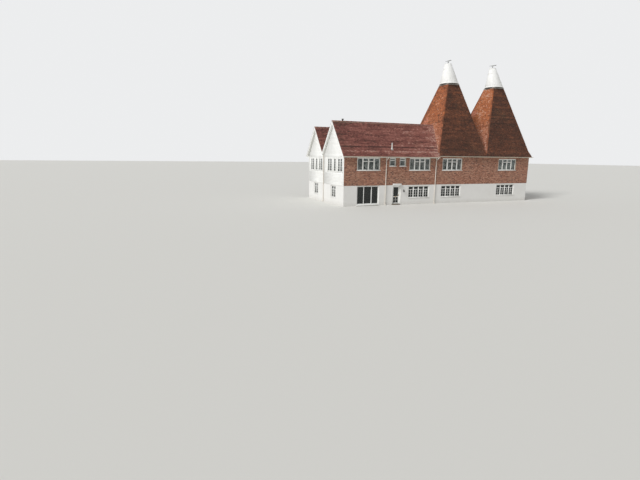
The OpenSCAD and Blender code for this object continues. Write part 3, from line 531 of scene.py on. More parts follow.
# %% A roof tile
tile_w, tile_gauge, tile_lap, tile_t = 0.165, 0.1, 0.03, 0.013
tile_joint, tile_lift, tile_tail = 0.002, 0.014, 0.04
tile_slip, tile_tilt, tile_least = 0.0015, 0.012, 0.03
streak_waves, streak_size, course_spread = (1.6, 5), 0.7, 0.8
tile =worked_block(0.004, lambda middle: middle.y < -0.4 and middle.z > 0.4)


def roof_slope(foot, outward, angle, length, left, right, hidden=None, start=-tile_tail):
    """A roof face. foot is a point of its lower edge where u is 0, outward its level direction, and
    left and right give how far it reaches along u at a distance v up the slope."""
    outward = Vector((*outward, 0))
    up = UP * math.sin(angle) - outward * math.cos(angle)
    along = Vector((-outward.y, outward.x, 0))
    return {"foot": np.array(foot), "axes": np.array([along, up, along.cross(up)]), "length": length,
            "left": left, "right": right, "hidden": hidden, "start": start}


def laid_tiles(slope):
    """Corners of the tiles that cover a roof face, cut along its edges, and the streak of each."""
    start, length, left, right = (slope[key] for key in ("start", "length", "left", "right"))
    rows = int((length - start) / tile_gauge)
    reach = np.linspace(0, length, 20)
    first = math.floor(min(left(reach)) / tile_w) - 1
    last = math.ceil(max(right(reach)) / tile_w) + 1
    column, row = np.meshgrid(np.arange(first, last), np.arange(rows))
    u = (column + (row % 2) / 2) * tile_w
    v = start + row * tile_gauge
    keep = (u + tile_w > left(v) + 0.02) & (u < right(v) - 0.02)
    u, v, pair = u[keep], v[keep], row[keep] // 2
    wave, phase = rng.uniform(*streak_waves, rows), rng.uniform(0, 2 * math.pi, rows)
    shift = rng.normal(0, course_spread, rows)
    streak = streak_size * np.sin(2 * math.pi * u / wave[pair] + phase[pair]) + shift[pair]
    v = v + rng.normal(0, tile_slip, len(v))
    flat, long = np.zeros_like(u), tile_gauge + tile_lap
    corners = stretched(tile, np.stack([u, u + (tile_w - tile_joint), v, v + long, flat, flat + tile_t], 1))
    tail = 1 - (corners[..., 1] - v[:, None]) / long
    corners[..., 2] += tail * (tile_lift + rng.normal(0, tile_slip, len(u))[:, None])
    corners[..., 2] += (corners[..., 0] - u[:, None]) * rng.normal(0, tile_tilt, len(u))[:, None]
    corners[..., 1] = np.minimum(corners[..., 1], length)
    corners[..., 0] = np.clip(corners[..., 0], left(corners[..., 1]), right(corners[..., 1]))
    kept = np.ptp(corners[..., 0], axis=1) > tile_least
    world = slope["foot"] + corners @ slope["axes"]
    if slope["hidden"] is not None:
        kept &= ~slope["hidden"](*world.mean(axis=1).T)
    return world[kept], streak[kept]


def tiled(name, slopes, finish, tones, splashes):
    """One piece with the tiles of several faces. tones give each face's mean tone, its spread and
    how far its courses are streaked, and splashes adds the lime at a place."""
    laid = [laid_tiles(slope) for slope in slopes]
    world = np.concatenate([part for part, streak in laid])
    tone = np.concatenate([rng.normal(mean, spread, len(part)) + streaks * streak
                           for (part, streak), (mean, spread, streaks) in zip(laid, tones)])
    tone += splashes(*world.mean(axis=1).T)
    return joined(name, world, tile, finish, tones=tone)


print("tile corners", len(tile[0]))

# %% [markdown]
# The kilns are square, and their roofs are steep pyramids with a flatter skirt at the eaves. These
# functions say how far in the roof stands at a height h above the kiln walls. The tiles of the
# ranges end where they meet a kiln, and those of the kiln start where they rise out of a range.

# %% Where the roofs meet
def kiln_edge(over, h):
    """Distance of a kiln roof's face from the wall face, for a side with or without eaves."""
    steep = (h - hip_foot) * kiln_k
    if over == 0:
        return np.maximum(steep, 0)
    skirt_in = (sprocket_h - hip_foot) * kiln_k
    share = np.clip((h - kiln_tip) / (sprocket_h - kiln_tip), -0.2, 1)
    return np.where(h < sprocket_h, share * (skirt_in + over) - over, steep)


def kiln_side_x(z):
    """Where the steep west side of the first kiln stands at a height."""
    return kiln_x + kiln_edge(0, z - kiln_wall_z)


def range_roof_z(y):
    return np.maximum(*(ridge_z[i] - rise * np.abs(y - ridge_y[i]) for i in (0, 1)))


def in_range(x, y, z):
    """Whether a place lies under the roofs of the ranges."""
    return (z < range_roof_z(y)) & (y < rear_y + eaves_over)


def in_kiln(x, y, z):
    """Whether a place lies inside the roof of the first kiln."""
    deep = kiln_edge(kiln_over, z - kiln_wall_z)
    return (x > kiln_side_x(z)) & (y > front_y + deep) & (y < kiln_rear_y - deep)


lime_strength, range_reach, kiln_reach, far_off = 0.5, 1.3, 0.6, 9.0


def splashed(gap, reach):
    """Lime washed out of the mortar fillets, which pales the tiles within reach of them."""
    return lime_strength * np.exp(-np.maximum(gap, 0) / reach) * rng.random(len(gap)) ** 0.7


def splashes_on_range(x, y, z):
    """These tiles also get paler from the ridge down and from the west gable to the kilns."""
    paler = 0.13 * (6.8 - z) / 1.7 + 0.014 * (x - (west_x + kiln_x) / 2)
    return splashed(kiln_side_x(z) - x, range_reach) + paler


def splashes_on_kiln(x, y, z):
    """Only the west side of the first kiln is splashed, just above the range roofs."""
    above = np.where(x < kiln_side_x(z) + 0.1, z - range_roof_z(y), far_off)
    return splashed(above, kiln_reach)


print("range roofs at the kiln", round(float(kiln_side_x(ridge_z[0])), 2))

# %% [markdown]
# Each range has two slopes. On the west they run out over the bargeboards. The front range's tiles
# stop at the steep side of the first kiln, and the rear one's at its own end.

# %% Tiles of the ranges
valley_gap = 0.06


def reach_east(i, foot_z, way):
    """Reach of a slope from the verge to its east end. way is -1 where u runs to the west."""
    if i == 0:
        return lambda v: way * (kiln_side_x(foot_z + v * math.sin(pitch)) - verge_x)
    return lambda v: np.full_like(v, way * (rear_end_x - verge_x), dtype=float)


def at_verge(v):
    return np.zeros_like(v, dtype=float)


mean_tones = {(0, -1): 0.43, (0, 1): 0.38, (1, -1): 0.45, (1, 1): 0.38}
for (i, sy), run in slope_run.items():
    to_valley = (i == 0) == (sy > 0)
    foot = (verge_x, ridge_y[i] + sy * run, valley_z if to_valley else eaves_z)
    reach = reach_east(i, foot[2], -sy)
    left, right = (at_verge, reach) if sy < 0 else (reach, at_verge)
    slope = roof_slope(foot, (0, sy), pitch, run / math.cos(pitch), left, right,
                       in_kiln if (i, sy) == (1, -1) else None, valley_gap if to_valley else -tile_tail)
    name = f"{('front', 'rear')[i]}_range_tiles_{'south' if sy < 0 else 'north'}"
    tiled(name, [slope], range_tile_finish, [(mean_tones[i, sy], 0.13, 0.16)],
          splashes_on_range)

# %% [markdown]
# A kiln roof has four faces. On a side with eaves the lowest part is the skirt, where short
# rafters called sprockets lift the tiles so that rain is thrown clear. The west faces get bright
# orange tones, partly painted light, and the others dark brown ones, partly weathering and partly
# painted shade. The west face of the second kiln is brighter still, as painted light where the
# first kiln shades it.

# %% Tiles of the kilns
def hip_line(over, h0, angle, way):
    """Reach of a face from its middle to a hip. It starts at height h0 and rises at an angle."""
    return lambda v: way * (kiln_w / 2 - kiln_edge(over, h0 + v * math.sin(angle)))


steep_angle = math.atan(1 / kiln_k)
skirt_rise, skirt_run = sprocket_h - kiln_tip, kiln_over + (sprocket_h - hip_foot) * kiln_k
south, east, north, west = (0, -1), (1, 0), (0, 1), (-1, 0)
for i in (0, 1):
    overs = (kiln_over, kiln_over * i, kiln_over, 0)
    # Tones per face: the dark south, east and north tones are partly painted shade, the bright west tones
    # partly painted light, and the second kiln's west tone is raised as painted light where the first kiln
    # shades it.
    lit_and_shaded_side_tones = (((0.215, 0.2)[i], 0.08, 0.06), (0.34, 0.08, 0.07), (0.26, 0.08, 0.07),
                  ((0.6, 0.76)[i], 0.15, 0.04))
    faces, tones = [], []
    for n, out in enumerate((south, east, north, west)):
        h0 = sprocket_h if overs[n] else hip_foot
        bands = [(steep_angle, h0, (kiln_roof_h - h0) / math.sin(steep_angle), valley_gap)]
        if overs[n]:
            bands = [(*bands[0][:3], -tile_tail), (math.atan2(skirt_rise, skirt_run), kiln_tip,
                                                   math.hypot(skirt_rise, skirt_run), -tile_tail)]
        for angle, h, length, start in bands:
            foot = (kiln_axis[i] + Vector((*out, 0)) * (kiln_w / 2 - float(kiln_edge(overs[n], h)))
                    + UP * (kiln_wall_z + h))
            left, right = (hip_line(overs[(n + way) % 4], h, angle, way) for way in (-1, 1))
            hidden = in_range if (i, n) == (0, 3) else None
            faces.append(roof_slope(foot, out, angle, length, left, right, hidden, start))
            tones.append(lit_and_shaded_side_tones[n])
    tiled(f"kiln_{i + 1}_tiles", faces, kiln_tile_finish, tones, splashes_on_kiln)

# %% [markdown]
# Walls and windows share one list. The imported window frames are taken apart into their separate
# solids, and the box of each says where a window is, how wide it is and which way it faces.

# %% Find the windows
def solid_boxes(name):
    """Lowest and highest corner of each separate solid in a CAD node, from a merged copy."""
    nothing_selected()
    copy = nodes[name].copy()
    copy.data = nodes[name].data.copy()
    copy.parent = None
    bpy.context.scene.collection.objects.link(copy)
    bpy.context.view_layer.objects.active = copy
    copy.select_set(True)
    bpy.ops.object.mode_set(mode="EDIT")
    bpy.ops.mesh.select_all(action="SELECT")
    bpy.ops.mesh.remove_doubles(threshold=0.0001)
    bpy.ops.mesh.separate(type="LOOSE")
    bpy.ops.object.mode_set(mode="OBJECT")
    found = []
    for part in list(bpy.context.selected_objects):
        points = np.array([v.co for v in part.data.vertices])
        found.append((Vector(points.min(0)), Vector(points.max(0))))
        bpy.data.objects.remove(part)
    return found


windows = []
for low, high in sorted(solid_boxes("window_frames"), key=lambda box: (box[0].z, box[0].x, box[0].y)):
    centre, size = (low + high) / 2, high - low
    along = 0 if size.y < size.x else 1
    far = centre.x > west_x + 1 if along else centre.y > (front_y + kiln_rear_y) / 2
    way = 1 if far else -1
    upper = low.z > storey_z
    windows.append({"out": (way, 0) if along else (0, way), "plane": (high if far else low)[1 - along],
                    "x0": low[along], "x1": high[along], "z0": low.z, "z1": high.z,
                    "lights": 4 if size[along] > 2 else 2 if size[along] > 0.8 else 1,
                    "upper": upper, "boarded": upper and along and centre.x < kiln_x})
windows.sort(key=lambda w: w["out"])
print("windows", len(windows))

# %% [markdown]
# A wall face is a flat plane with a direction. Bricks and boards are laid on it in courses, and a
# course is broken wherever a window is cut through. This helper gives the stretches that are left.

# %% Wall faces
def wall_face(out, plane, start, end, foot, top):
    """A wall's outer face: its direction, its plane, how far it runs, its foot, top and windows."""
    holes = [[w[key] for key in ("x0", "x1", "z0", "z1")] for w in windows
             if w["out"] == out and abs(w["plane"] - plane) < 0.5]
    return {"out": out, "plane": plane, "start": start, "end": end, "foot": foot, "top": top, "holes": holes}


def free_runs(face, low_z, high_z, start, end, clear=0.0):
    """Stretches of a course from start to end between the windows that it meets."""
    runs = [(start, end)]
    for a, b, z0, z1 in face["holes"]:
        if z0 - clear < high_z - 0.001 and z1 + clear > low_z + 0.001:
            cut = []
            for left, right in runs:
                cut += [(left, min(right, a - clear)), (max(left, b + clear), right)]
            runs = [run for run in cut if run[1] - run[0] > 0.01]
    return runs


def on_face(out, plane, corners):
    """Turns points given as (along, height, out of the wall) into the row frame."""
    along, high, outward = np.moveaxis(corners, -1, 0)
    across = plane + outward * sum(out)
    return np.stack([along, across, high] if out[1] else [across, along, high], -1)


def facing(pattern, out):
    """The same pattern with its faces wound the other way, for walls where on_face mirrors it."""
    return (pattern[0], [f[::-1] for f in pattern[1]]) if out in (north, west) else pattern


proud, sunk = 0.004, 0.01
brick_faces = {
    "front_wall_bricks": wall_face(south, front_y, west_x, kiln_x, storey_z, soffit_z),
    "kiln_front_bricks": wall_face(south, front_y, kiln_x, east_x + proud, storey_z, kiln_wall_z),
    "rear_wall_bricks": wall_face(north, rear_y, west_x, kiln_x, storey_z, soffit_z),
    "kiln_rear_bricks": wall_face(north, kiln_rear_y, kiln_x, east_x + proud, storey_z, kiln_wall_z),
    "kiln_east_bricks": wall_face(east, east_x, front_y + sunk, kiln_rear_y - sunk, storey_z, kiln_wall_z),
}
print({name: len(face["holes"]) for name, face in brick_faces.items()})

# %% [markdown]
# The bricks are laid in Flemish bond, a long stretcher and a short header by turns, with each
# header over the middle of a stretcher. A brick is 215 by 102 by 65 mm with joints of 10 mm. They
# stand 4 mm proud of the mortar, and a brick that meets a window or a corner is cut. Where a course
# runs just over or just under a window, thin cut bricks fill what is left of its height.

# %% Bricks
brick_l, brick_w, brick_h, joint = 0.215, 0.1025, 0.065, 0.01
shortest, thinnest = 0.035, 0.012
course_h = brick_h + joint
brick = worked_block(0.003, lambda middle: middle.z > 0.4)


def course_parts(face, z):
    """Stretches of a course and their heights: whole ones, and cut ones over and under windows."""
    low, high = z + joint / 2, min(z + joint / 2 + brick_h, face["top"])
    runs = free_runs(face, z, z + course_h, face["start"], face["end"])
    parts = [(start, end, low, high) for start, end in runs]
    for start, end, sill, head in face["holes"]:
        if face["start"] < start < face["end"]:
            parts += [(start, end, a, b) for a, b in ((low, min(high, sill)), (max(low, head), high))
                      if thinnest < b - a < high - low - 0.001]
    return parts


def laid_bricks(face):
    parts = []
    pair = brick_l + brick_w + 2 * joint
    for row in range(int(round((face["top"] - face["foot"]) / course_h))):
        first = face["start"] + (row % 2) * pair / 2
        for start, end, low_z, high_z in course_parts(face, face["foot"] + row * course_h):
            x = first + (math.floor((start - first) / pair) - 1) * pair
            while x < end:
                for size in (brick_l, brick_w):
                    a, b = max(x, start), min(x + size, end)
                    if b - a > shortest:
                        parts.append((a, b, low_z, high_z, -sunk, proud))
                    x += size + joint
    return on_face(face["out"], face["plane"], stretched(brick, parts))


for name, face in brick_faces.items():
    corners = laid_bricks(face)
    tones = rng.beta(2.6, 2.2, len(corners))
    tones[rng.random(len(corners)) < 0.06] = 0.03
    joined(name, corners, facing(brick, face["out"]), brick_finish, tones=tones)

# %% [markdown]
# The gables are weatherboarded: sawn boards, thin at the top and thick at the foot, each lapped
# over the one below. The upper edge of the wall follows the roof, so the ends of the boards are
# cut to that slope. A flat board frames each window and a bead runs up each corner of the house, and
# the laps end against them.

# %% Weatherboards
board_show, board_lap, board_foot, board_head = 0.15, 0.025, 0.024, 0.008
trim_w, corner_w, corner_t = 0.07, 0.045, 0.028
board = worked_block(0.003, lambda middle: middle.z > 0.4 and middle.y < -0.4)


def laid_boards(face, peak_y, peak_z):
    """Boards on a gable whose top is cut to the underside of a roof with its peak at peak_y."""
    parts = []
    for row in range(int((peak_z - 0.1 - face["foot"]) / board_show) + 1):
        z = face["foot"] + row * board_show - (0.02 if row == 0 else 0)
        half = (peak_z - z) / rise
        start, end = max(face["start"], peak_y - half), min(face["end"], peak_y + half)
        top = min(z + board_show + board_lap, peak_z - 0.02)
        parts += [(a, b, z, top, 0, board_foot)
                  for a, b in free_runs(face, z, z + board_show, start, end, trim_w)]
    corners = stretched(board, parts)
    share = (corners[..., 1] - np.array(parts)[:, None, 2]) / (board_show + board_lap)
    corners[..., 2] -= np.where(corners[..., 2] > board_foot / 2, share * (board_foot - board_head), 0)
    half = np.maximum((peak_z - corners[..., 1]) / rise, 0.01)
    corners[..., 0] = np.clip(corners[..., 0], peak_y - half, peak_y + half)
    return on_face(face["out"], face["plane"], corners)


gables = {
    "west_gable_front_boards": (wall_face(west, west_x, front_y + corner_w, valley_y, storey_z, 0), 0),
    "west_gable_rear_boards": (wall_face(west, west_x, valley_y, rear_y - corner_w, storey_z, 0), 1),
    "east_gable_boards": (wall_face(east, kiln_x, kiln_rear_y, rear_y - corner_w, storey_z, 0), 1),
}
for name, (face, i) in gables.items():
    corners = laid_boards(face, ridge_y[i], ridge_z[i] - roof_t / math.cos(pitch))
    joined(name, corners, facing(board, face["out"]), board_finish)
at_front, at_rear = (front_y - proud, front_y + corner_w), (rear_y - corner_w, rear_y + proud)
boxes("corner_beads", [(*across, *deep, storey_z - 0.02, soffit_z) for across, deep in (
    ((west_x - corner_t, west_x), at_front), ((west_x - corner_t, west_x), at_rear),
    ((kiln_x, kiln_x + corner_t), at_rear))], joinery_finish)

# %% [markdown]
# A window is a frame with lights. In each light sits a casement: a thinner frame of its own, cut
# up by glazing bars or by a transom with a small vent above it. The outer frame is the CAD node,
# and the casements, bars, sills and the flat trim round the gable windows are added here. All are
# lengths of one moulded bar.

# %% Casements, sills and trim
frame_w, mullion_w = 0.06, 0.05
sash_proud, sash_deep = 0.01, 0.03
sill_t, sill_out, sill_horn = 0.045, 0.045, 0.05
bar = worked_block(0.004, lambda middle: middle.z > 0.4)


def ring(x0, x1, z0, z1, width):
    """Two upright and two level bars round a pane, by their ends along the wall and in height."""
    left, right, foot, head = x0 + width, x1 - width, z0 + width, z1 - width
    return [(x0, left, z0, z1), (right, x1, z0, z1), (left, right, z0, foot), (left, right, head, z1)]


def casement_bars(x0, x1, z0, z1, rows, columns, vent, sash_w, bar_w):
    """Rails, stiles and bars of one casement."""
    parts = ring(x0, x1, z0, z1, sash_w)
    left, right, foot, top = x0 + sash_w, x1 - sash_w, z0 + sash_w, z1 - sash_w
    if vent:
        top = z0 + (z1 - z0) * 0.7
        parts.append((left, right, top, top + sash_w * 1.4))
    for k in range(1, rows):
        z = foot + (top - z0 - sash_w) * k / rows
        parts.append((left, right, z - bar_w / 2, z + bar_w / 2))
    for k in range(1, columns):
        x = x0 + (x1 - x0) * k / columns
        parts.append((x - bar_w / 2, x + bar_w / 2, foot, top))
    return parts


def light_style(w, light):
    """Rows, columns and vent of a light, by the kind of window."""
    if w["upper"]:
        return (5, 1, False) if w["boarded"] else (1, 1, w["lights"] < 4 or light in (1, 2))
    return (3, 2, True) if w["lights"] > 1 else (1, 1, True)


def window_joinery(w, reveal):
    """What is added to one window: ends along the wall, in height and out of the frame."""
    x0, x1, z0, z1, lights = (w[key] for key in ("x0", "x1", "z0", "z1", "lights"))
    widths = (0.05, 0.025) if w["upper"] else (0.036, 0.018)
    light_w = (x1 - x0 - 2 * frame_w - (lights - 1) * mullion_w) / lights
    parts = []
    for light in range(lights):
        a = x0 + frame_w + light * (light_w + mullion_w)
        bars = casement_bars(a, a + light_w, z0 + frame_w, z1 - frame_w, *light_style(w, light), *widths)
        parts += [(*ends, -sash_deep, sash_proud) for ends in bars]
    parts += [(x0, x1, z0, z0 + sill_t, 0, reveal),
              (x0 - sill_horn, x1 + sill_horn, z0 - 0.005, z0 + sill_t, reveal, reveal + sill_out)]
    if w["boarded"]:
        top = z1 + trim_w
        trim = ((x0 - trim_w, x0, z0, top), (x1, x1 + trim_w, z0, top), (x0, x1, z1, top))
        parts += [(*ends, reveal, reveal + 0.03) for ends in trim]
    return parts


for name, out, planes in (("west", west, [west_x]), ("front", south, [front_y]),
                          ("rear", north, [kiln_rear_y, rear_y]), ("east", east, [kiln_x, east_x])):
    corners = []
    for w in windows:
        if w["out"] == out:
            parts = window_joinery(w, min(abs(plane - w["plane"]) for plane in planes))
            corners.append(on_face(out, w["plane"], stretched(bar, parts)))
    joined(f"casements_{name}", np.concatenate(corners), facing(bar, out), joinery_finish)

# %% [markdown]
# Long parts such as boards, straps and flashings are laid from one point to another. These helpers
# turn a pattern so that its own X runs along the part and its Z points up or out of the surface.

# %% Helpers for long parts
def turned(along, up):
    """Axes of a part, as rows: its own X runs along one direction and its Z points up."""
    along = Vector(along).normalized()
    across = Vector(up).cross(along).normalized()
    return np.array([along, across, along.cross(across)])


def beams(name, parts, finish, body="building"):
    """A piece made of blocks laid between points: each part is (start, end, up, across, height),
    where across and height say where the block's sides lie."""
    corners = []
    for start, end, up, across, height in parts:
        way = Vector(end) - Vector(start)
        shape = stretched(block, [(0, way.length, *across, *height)])[0]
        corners.append(shape @ turned(way, up) + np.array(Vector(start)))
    return joined(name, np.array(corners), block, finish, body)


def round_pattern(sides, **cylinder):
    """A cylinder along its own X, ready to be worked."""
    nothing_selected()
    bpy.ops.mesh.primitive_cylinder_add(vertices=sides, rotation=(0, math.radians(90), 0), **cylinder)
    bpy.ops.object.transform_apply(location=True, rotation=True)
    return bpy.context.object


rod = pattern_of(round_pattern(12, radius=1, depth=1, location=(0.5, 0, 0)))


def tubes(name, parts, finish, body="building"):
    """A piece made of round bars: each part is (start, end, radius)."""
    corners = []
    for start, end, radius in parts:
        way = end - start
        side = (0, 1, 0) if abs(way.normalized().y) < 0.9 else (1, 0, 0)
        axes = turned(way, side) * np.array([[way.length], [radius], [radius]])
        corners.append(rod[0] @ axes + np.array(start))
    return joined(name, np.array(corners), rod, finish, body)


def chain(points, radius):
    """Round bars from each point to the next."""
    return [(a, b, radius) for a, b in zip(points, points[1:])]


def upright(at, z0, z1, radius):
    """A round bar that stands over or under a point."""
    return (at + UP * z0, at + UP * z1, radius)


def placed(pattern, places):
    """Copies of a pattern: each place is its axes as rows, and its origin."""
    return np.array([pattern[0] @ axes + np.array(at) for axes, at in places])


def stations(start, end, step):
    """Points evenly spaced from one point to another, no further apart than step."""
    count = max(1, math.ceil((end - start).length / step))
    return [start.lerp(end, (k + 0.5) / count) for k in range(count)]


print("helpers for long parts are ready")

# %% [markdown]
# Half-round tiles cap the ridges, and smaller ones the hips of the kilns. Each is a clay tube cut in
# half, made here from a cylinder without ends whose lower half is deleted and whose wall is then
# given its thickness. They are bedded in mortar, which shows as a pale line along both sides.

# %% Ridge and hip tiles
def half_round(radius, length, wall, sides, from_z=0.0):
    """Part of a tube along X: the half above its middle, or what lies above a height."""
    tube = round_pattern(sides, radius=radius, depth=length, end_fill_type="NOTHING")
    pick(tube, "VERT", lambda corner: corner.z < from_z - 0.001)
    bpy.ops.mesh.delete(type="VERT")
    bpy.ops.object.mode_set(mode="OBJECT")
    skin = tube.modifiers.new("wall", "SOLIDIFY")
    skin.thickness, skin.offset = wall, -1
    bpy.ops.object.modifier_apply(modifier=skin.name)
    return pattern_of(tube)


ridge_l, hip_l = 0.45, 0.3
ridge_drop, hip_drop, hip_tip = 0.085, 0.06, 0.03
cap_spread, cap_sway = 0.002, 0.004
ridge_cap = half_round(0.115, ridge_l - 0.008, 0.016, 16)
hip_cap = half_round(0.09, hip_l + 0.02, 0.014, 12)


def kiln_corner(i, sx, sy, h):
    """Point on a hip of kiln roof i at height h above the walls."""
    in_x, in_y = (kiln_w / 2 - float(kiln_edge(over, h))
                  for over in (kiln_over if (i, sx) == (1, 1) else 0, kiln_over))
    return kiln_axis[i] + Vector((sx * in_x, sy * in_y, kiln_wall_z + h))


def cap_line(start, end, up, length, drop, tip=0.0):
    """Places of half-round tiles along a line, each tipped so that its lower end rides up."""
    steps = max(1, round((end - start).length / length))
    way, up = (end - start).normalized(), up.normalized()
    places = []
    for k in range(steps):
        at = start.lerp(end, (k + 0.5) / steps) - up * (drop + rng.normal(0, cap_spread))
        sway = Vector(rng.normal(0, cap_sway, 3))
        places.append((turned(way + sway - up * tip, up), at))
    return places


ridge_ends = [float(kiln_side_x(ridge_z[0])) + 0.1, rear_end_x]
ridge_places = []
for i in (0, 1):
    start, end = (Vector((x, ridge_y[i], ridge_z[i])) for x in (verge_x + 0.002, ridge_ends[i]))
    ridge_places += cap_line(start, end, UP, ridge_l, ridge_drop)
joined("ridge_tiles", placed(ridge_cap, ridge_places), ridge_cap, range_tile_finish,
       tones=rng.normal(0.55, 0.15, len(ridge_places)))

hip_places, lit_and_shaded_hip_tones = [], []
for i, sx, sy in ((i, sx, sy) for i in (0, 1) for sx in (-1, 1) for sy in (-1, 1)):
    heights = [kiln_tip if (i, sx) == (1, 1) else hip_foot, sprocket_h, kiln_roof_h - 0.12]
    points = [kiln_corner(i, sx, sy, h) for h in heights]
    for a, b in zip(points, points[1:]):
        flat, way = Vector((sx, sy, 0)).normalized(), (b - a).normalized()
        places = cap_line(a, b, flat - way * flat.dot(way), hip_l, hip_drop, hip_tip)
        places = [place for place in places if not in_range(*place[1])]
        hip_places += places
        # West hips get a bright tone as painted light. The others get a dark one, partly weathering and
        # partly painted shade.
        lit_and_shaded_hip_tones += [0.5 if sx < 0 else 0.24] * len(places)
joined("hip_tiles", placed(hip_cap, hip_places), hip_cap, kiln_tile_finish,
       tones=rng.normal(lit_and_shaded_hip_tones, 0.08))

# %% [markdown]
# Mortar fills the gaps: a bed under the ridge tiles, the edge of the verge, and a thick fillet where
# the range roofs run into the side of the first kiln. It is weathered and lumpy, so the fillets are
# many short lengths of uneven size.

# %% Mortar beds and fillets
def slope_normal(sy):
    return Vector((0, sy * math.sin(pitch), math.cos(pitch)))


def range_point(i, sy, y_off, x):
    """Point on range roof i, y_off from its ridge on side sy."""
    return Vector((x, ridge_y[i] + sy * y_off, ridge_z[i] - rise * y_off))


bed_parts = []
for (i, sy), run in slope_run.items():
    a, b = (range_point(i, sy, 0.1, x) for x in (verge_x + 0.004, ridge_ends[i] - 0.02))
    top, low = (range_point(i, sy, d, verge_x + 0.06) for d in (0.02, run - 0.03))
    bed_parts += [(a, b, slope_normal(sy), (-0.02, 0.02), (0.0, 0.03)),
                  (low, top, slope_normal(sy), (-0.055, 0.055), (0.0, 0.016))]
beams("verge_and_ridge_bedding", bed_parts, mortar_finish)

rear_top_z = kiln_wall_z + hip_foot + (rear_end_x - kiln_x) / kiln_k
fillet_l, fillet_t = 0.16, 0.03
fillets = []
for i, sy, z0, z1, width in ((0, -1, kiln_wall_z + hip_foot + 0.3, ridge_z[0], 0.055),
                             (0, 1, valley_z, ridge_z[0], 0.08), (1, -1, valley_z, rear_top_z, 0.08)):
    a, b = (Vector((float(kiln_side_x(z)), ridge_y[i] + sy * (ridge_z[i] - z) / rise, z)) for z in (z0, z1))
    up = Vector((-1, 0, kiln_k)).normalized() + slope_normal(sy)
    for mid in stations(a, b, fillet_l):
        half = (b - a).normalized() * rng.uniform(0.08, 0.1)
        w = width * rng.uniform(0.6, 1.15)
        fillets.append((mid - half, mid + half, up, (-w, w), (-0.02, fillet_t * rng.uniform(0.8, 1.3))))
beams("kiln_fillets", fillets, fillet_finish)

# %% [markdown]
# Sheet lead lines the valley between the two ranges and the one between the kilns, and caps the top
# of each kiln under its cowl. In the valleys it is a strip up each side.

# %% Lead
lead_t, lead_w, cap_drop, cap_out = 0.005, 0.2, 0.13, kiln_top_w / 2 + 0.036
range_ends = [(x, valley_y, valley_z) for x in (verge_x + 0.03, kiln_x)]
kiln_ends = [kiln_corner(0, 1, sy, hip_foot) for sy in (-1, 1)]
lead_strips = [(*ends, up, across, (0.0, lead_t)) for ends, up, across in (
    (range_ends, slope_normal(-1), (0.0, lead_w)), (range_ends, slope_normal(1), (-lead_w, 0.0)),
    (kiln_ends, (1, 0, kiln_k), (-lead_w, 0.0)), (kiln_ends, (-1, 0, kiln_k), (0.0, lead_w)))]
beams("valley_lead", lead_strips, lead_lightened_as_painted_light)

for i in (0, 1):
    nothing_selected()
    bpy.ops.mesh.primitive_cone_add(vertices=4, radius1=1, radius2=1, depth=1, end_fill_type="NOTHING")
    skirt = bpy.context.object
    pick(skirt, "EDGE", lambda middle: middle.z > 0.4)
    bpy.ops.mesh.extrude_region_move()
    bpy.ops.transform.resize(value=(0.74, 0.74, 1), center_override=(0, 0, 0))
    bpy.ops.object.mode_set(mode="OBJECT")
    for corner in skirt.data.vertices:
        inner, top = corner.co.xy.length < 0.9, corner.co.z > 0
        half = cap_out * 0.72 if inner else cap_out + (0 if top else cap_drop * kiln_k)
        side = Matrix.Rotation(math.radians(45), 3, "Z") @ corner.co
        corner.co = kiln_axis[i] + Vector((math.copysign(half, side.x), math.copysign(half, side.y),
                                           kiln_top_z + (0.004 if top else -cap_drop)))
    sheet = skirt.modifiers.new("sheet", "SOLIDIFY")
    sheet.thickness, sheet.offset = 0.006, 1
    bpy.ops.object.modifier_apply(modifier=sheet.name)
    dressed(skirt, f"kiln_{i + 1}_lead_cap", lead_lightened_as_painted_light)

# %% [markdown]
# White boards close the underside of each verge, and iron brackets hold the gutters every 900 mm.
# Each bracket is a strap bent round the underside, made like a hip tile but narrow and less deep.

# %% Verge boards and gutter brackets
soffit_count, soffit_t = 3, 0.016
half = (west_x - barge_x) / (2 * soffit_count)
soffit_parts = []
for (i, sy), run in slope_run.items():
    normal = slope_normal(sy)
    for k in range(soffit_count):
        x = barge_x + (west_x - barge_x) * (k + 0.5) / soffit_count
        low, top = (range_point(i, sy, d, x) - normal * roof_t for d in (run - 0.16, 0.02))
        soffit_parts.append((low, top, normal, (0.004 - half, half - 0.004), (-soffit_t, 0.0)))
beams("verge_soffit_boards", soffit_parts, board_finish)

gutter_r, bracket_gap = 0.055, 0.9
strap = half_round(gutter_r + 0.005, 0.03, 0.005, 24, 0.027)
gutter_y = {"range": (front_y - eaves_over - gutter_r, rear_y + eaves_over + gutter_r),
            "kiln": (front_y - kiln_over - gutter_r, kiln_rear_y + kiln_over + gutter_r)}
kiln_end_x, kiln_gutter_z = east_x + kiln_over, kiln_wall_z + kiln_tip
strap_places = []
for x0, x1, y0, y1, z in (
        (barge_x, kiln_x - gutter_r, gutter_y["range"][0], gutter_y["range"][0], eaves_z),
        (barge_x, rear_end_x, gutter_y["range"][1], gutter_y["range"][1], eaves_z),
        (kiln_x, kiln_end_x, gutter_y["kiln"][0], gutter_y["kiln"][0], kiln_gutter_z),
        (kiln_x + 0.3, kiln_end_x, gutter_y["kiln"][1], gutter_y["kiln"][1], kiln_gutter_z),
        (kiln_end_x + gutter_r, kiln_end_x + gutter_r, front_y - kiln_over, kiln_rear_y + kiln_over,
         kiln_gutter_z)):
    a, b = Vector((x0, y0, z)), Vector((x1, y1, z))
    strap_places += [(turned(b - a, -UP), at - UP * 0.001) for at in stations(a, b, bracket_gap)]
joined("gutter_brackets", placed(strap, strap_places), strap, cream_finish)

# %% [markdown]
# A downpipe hangs a little off the wall in clips. At its top a swan neck, two bends and a slanting
# length, brings the water in from the gutter under the eaves, and a shoe throws it clear at the foot.

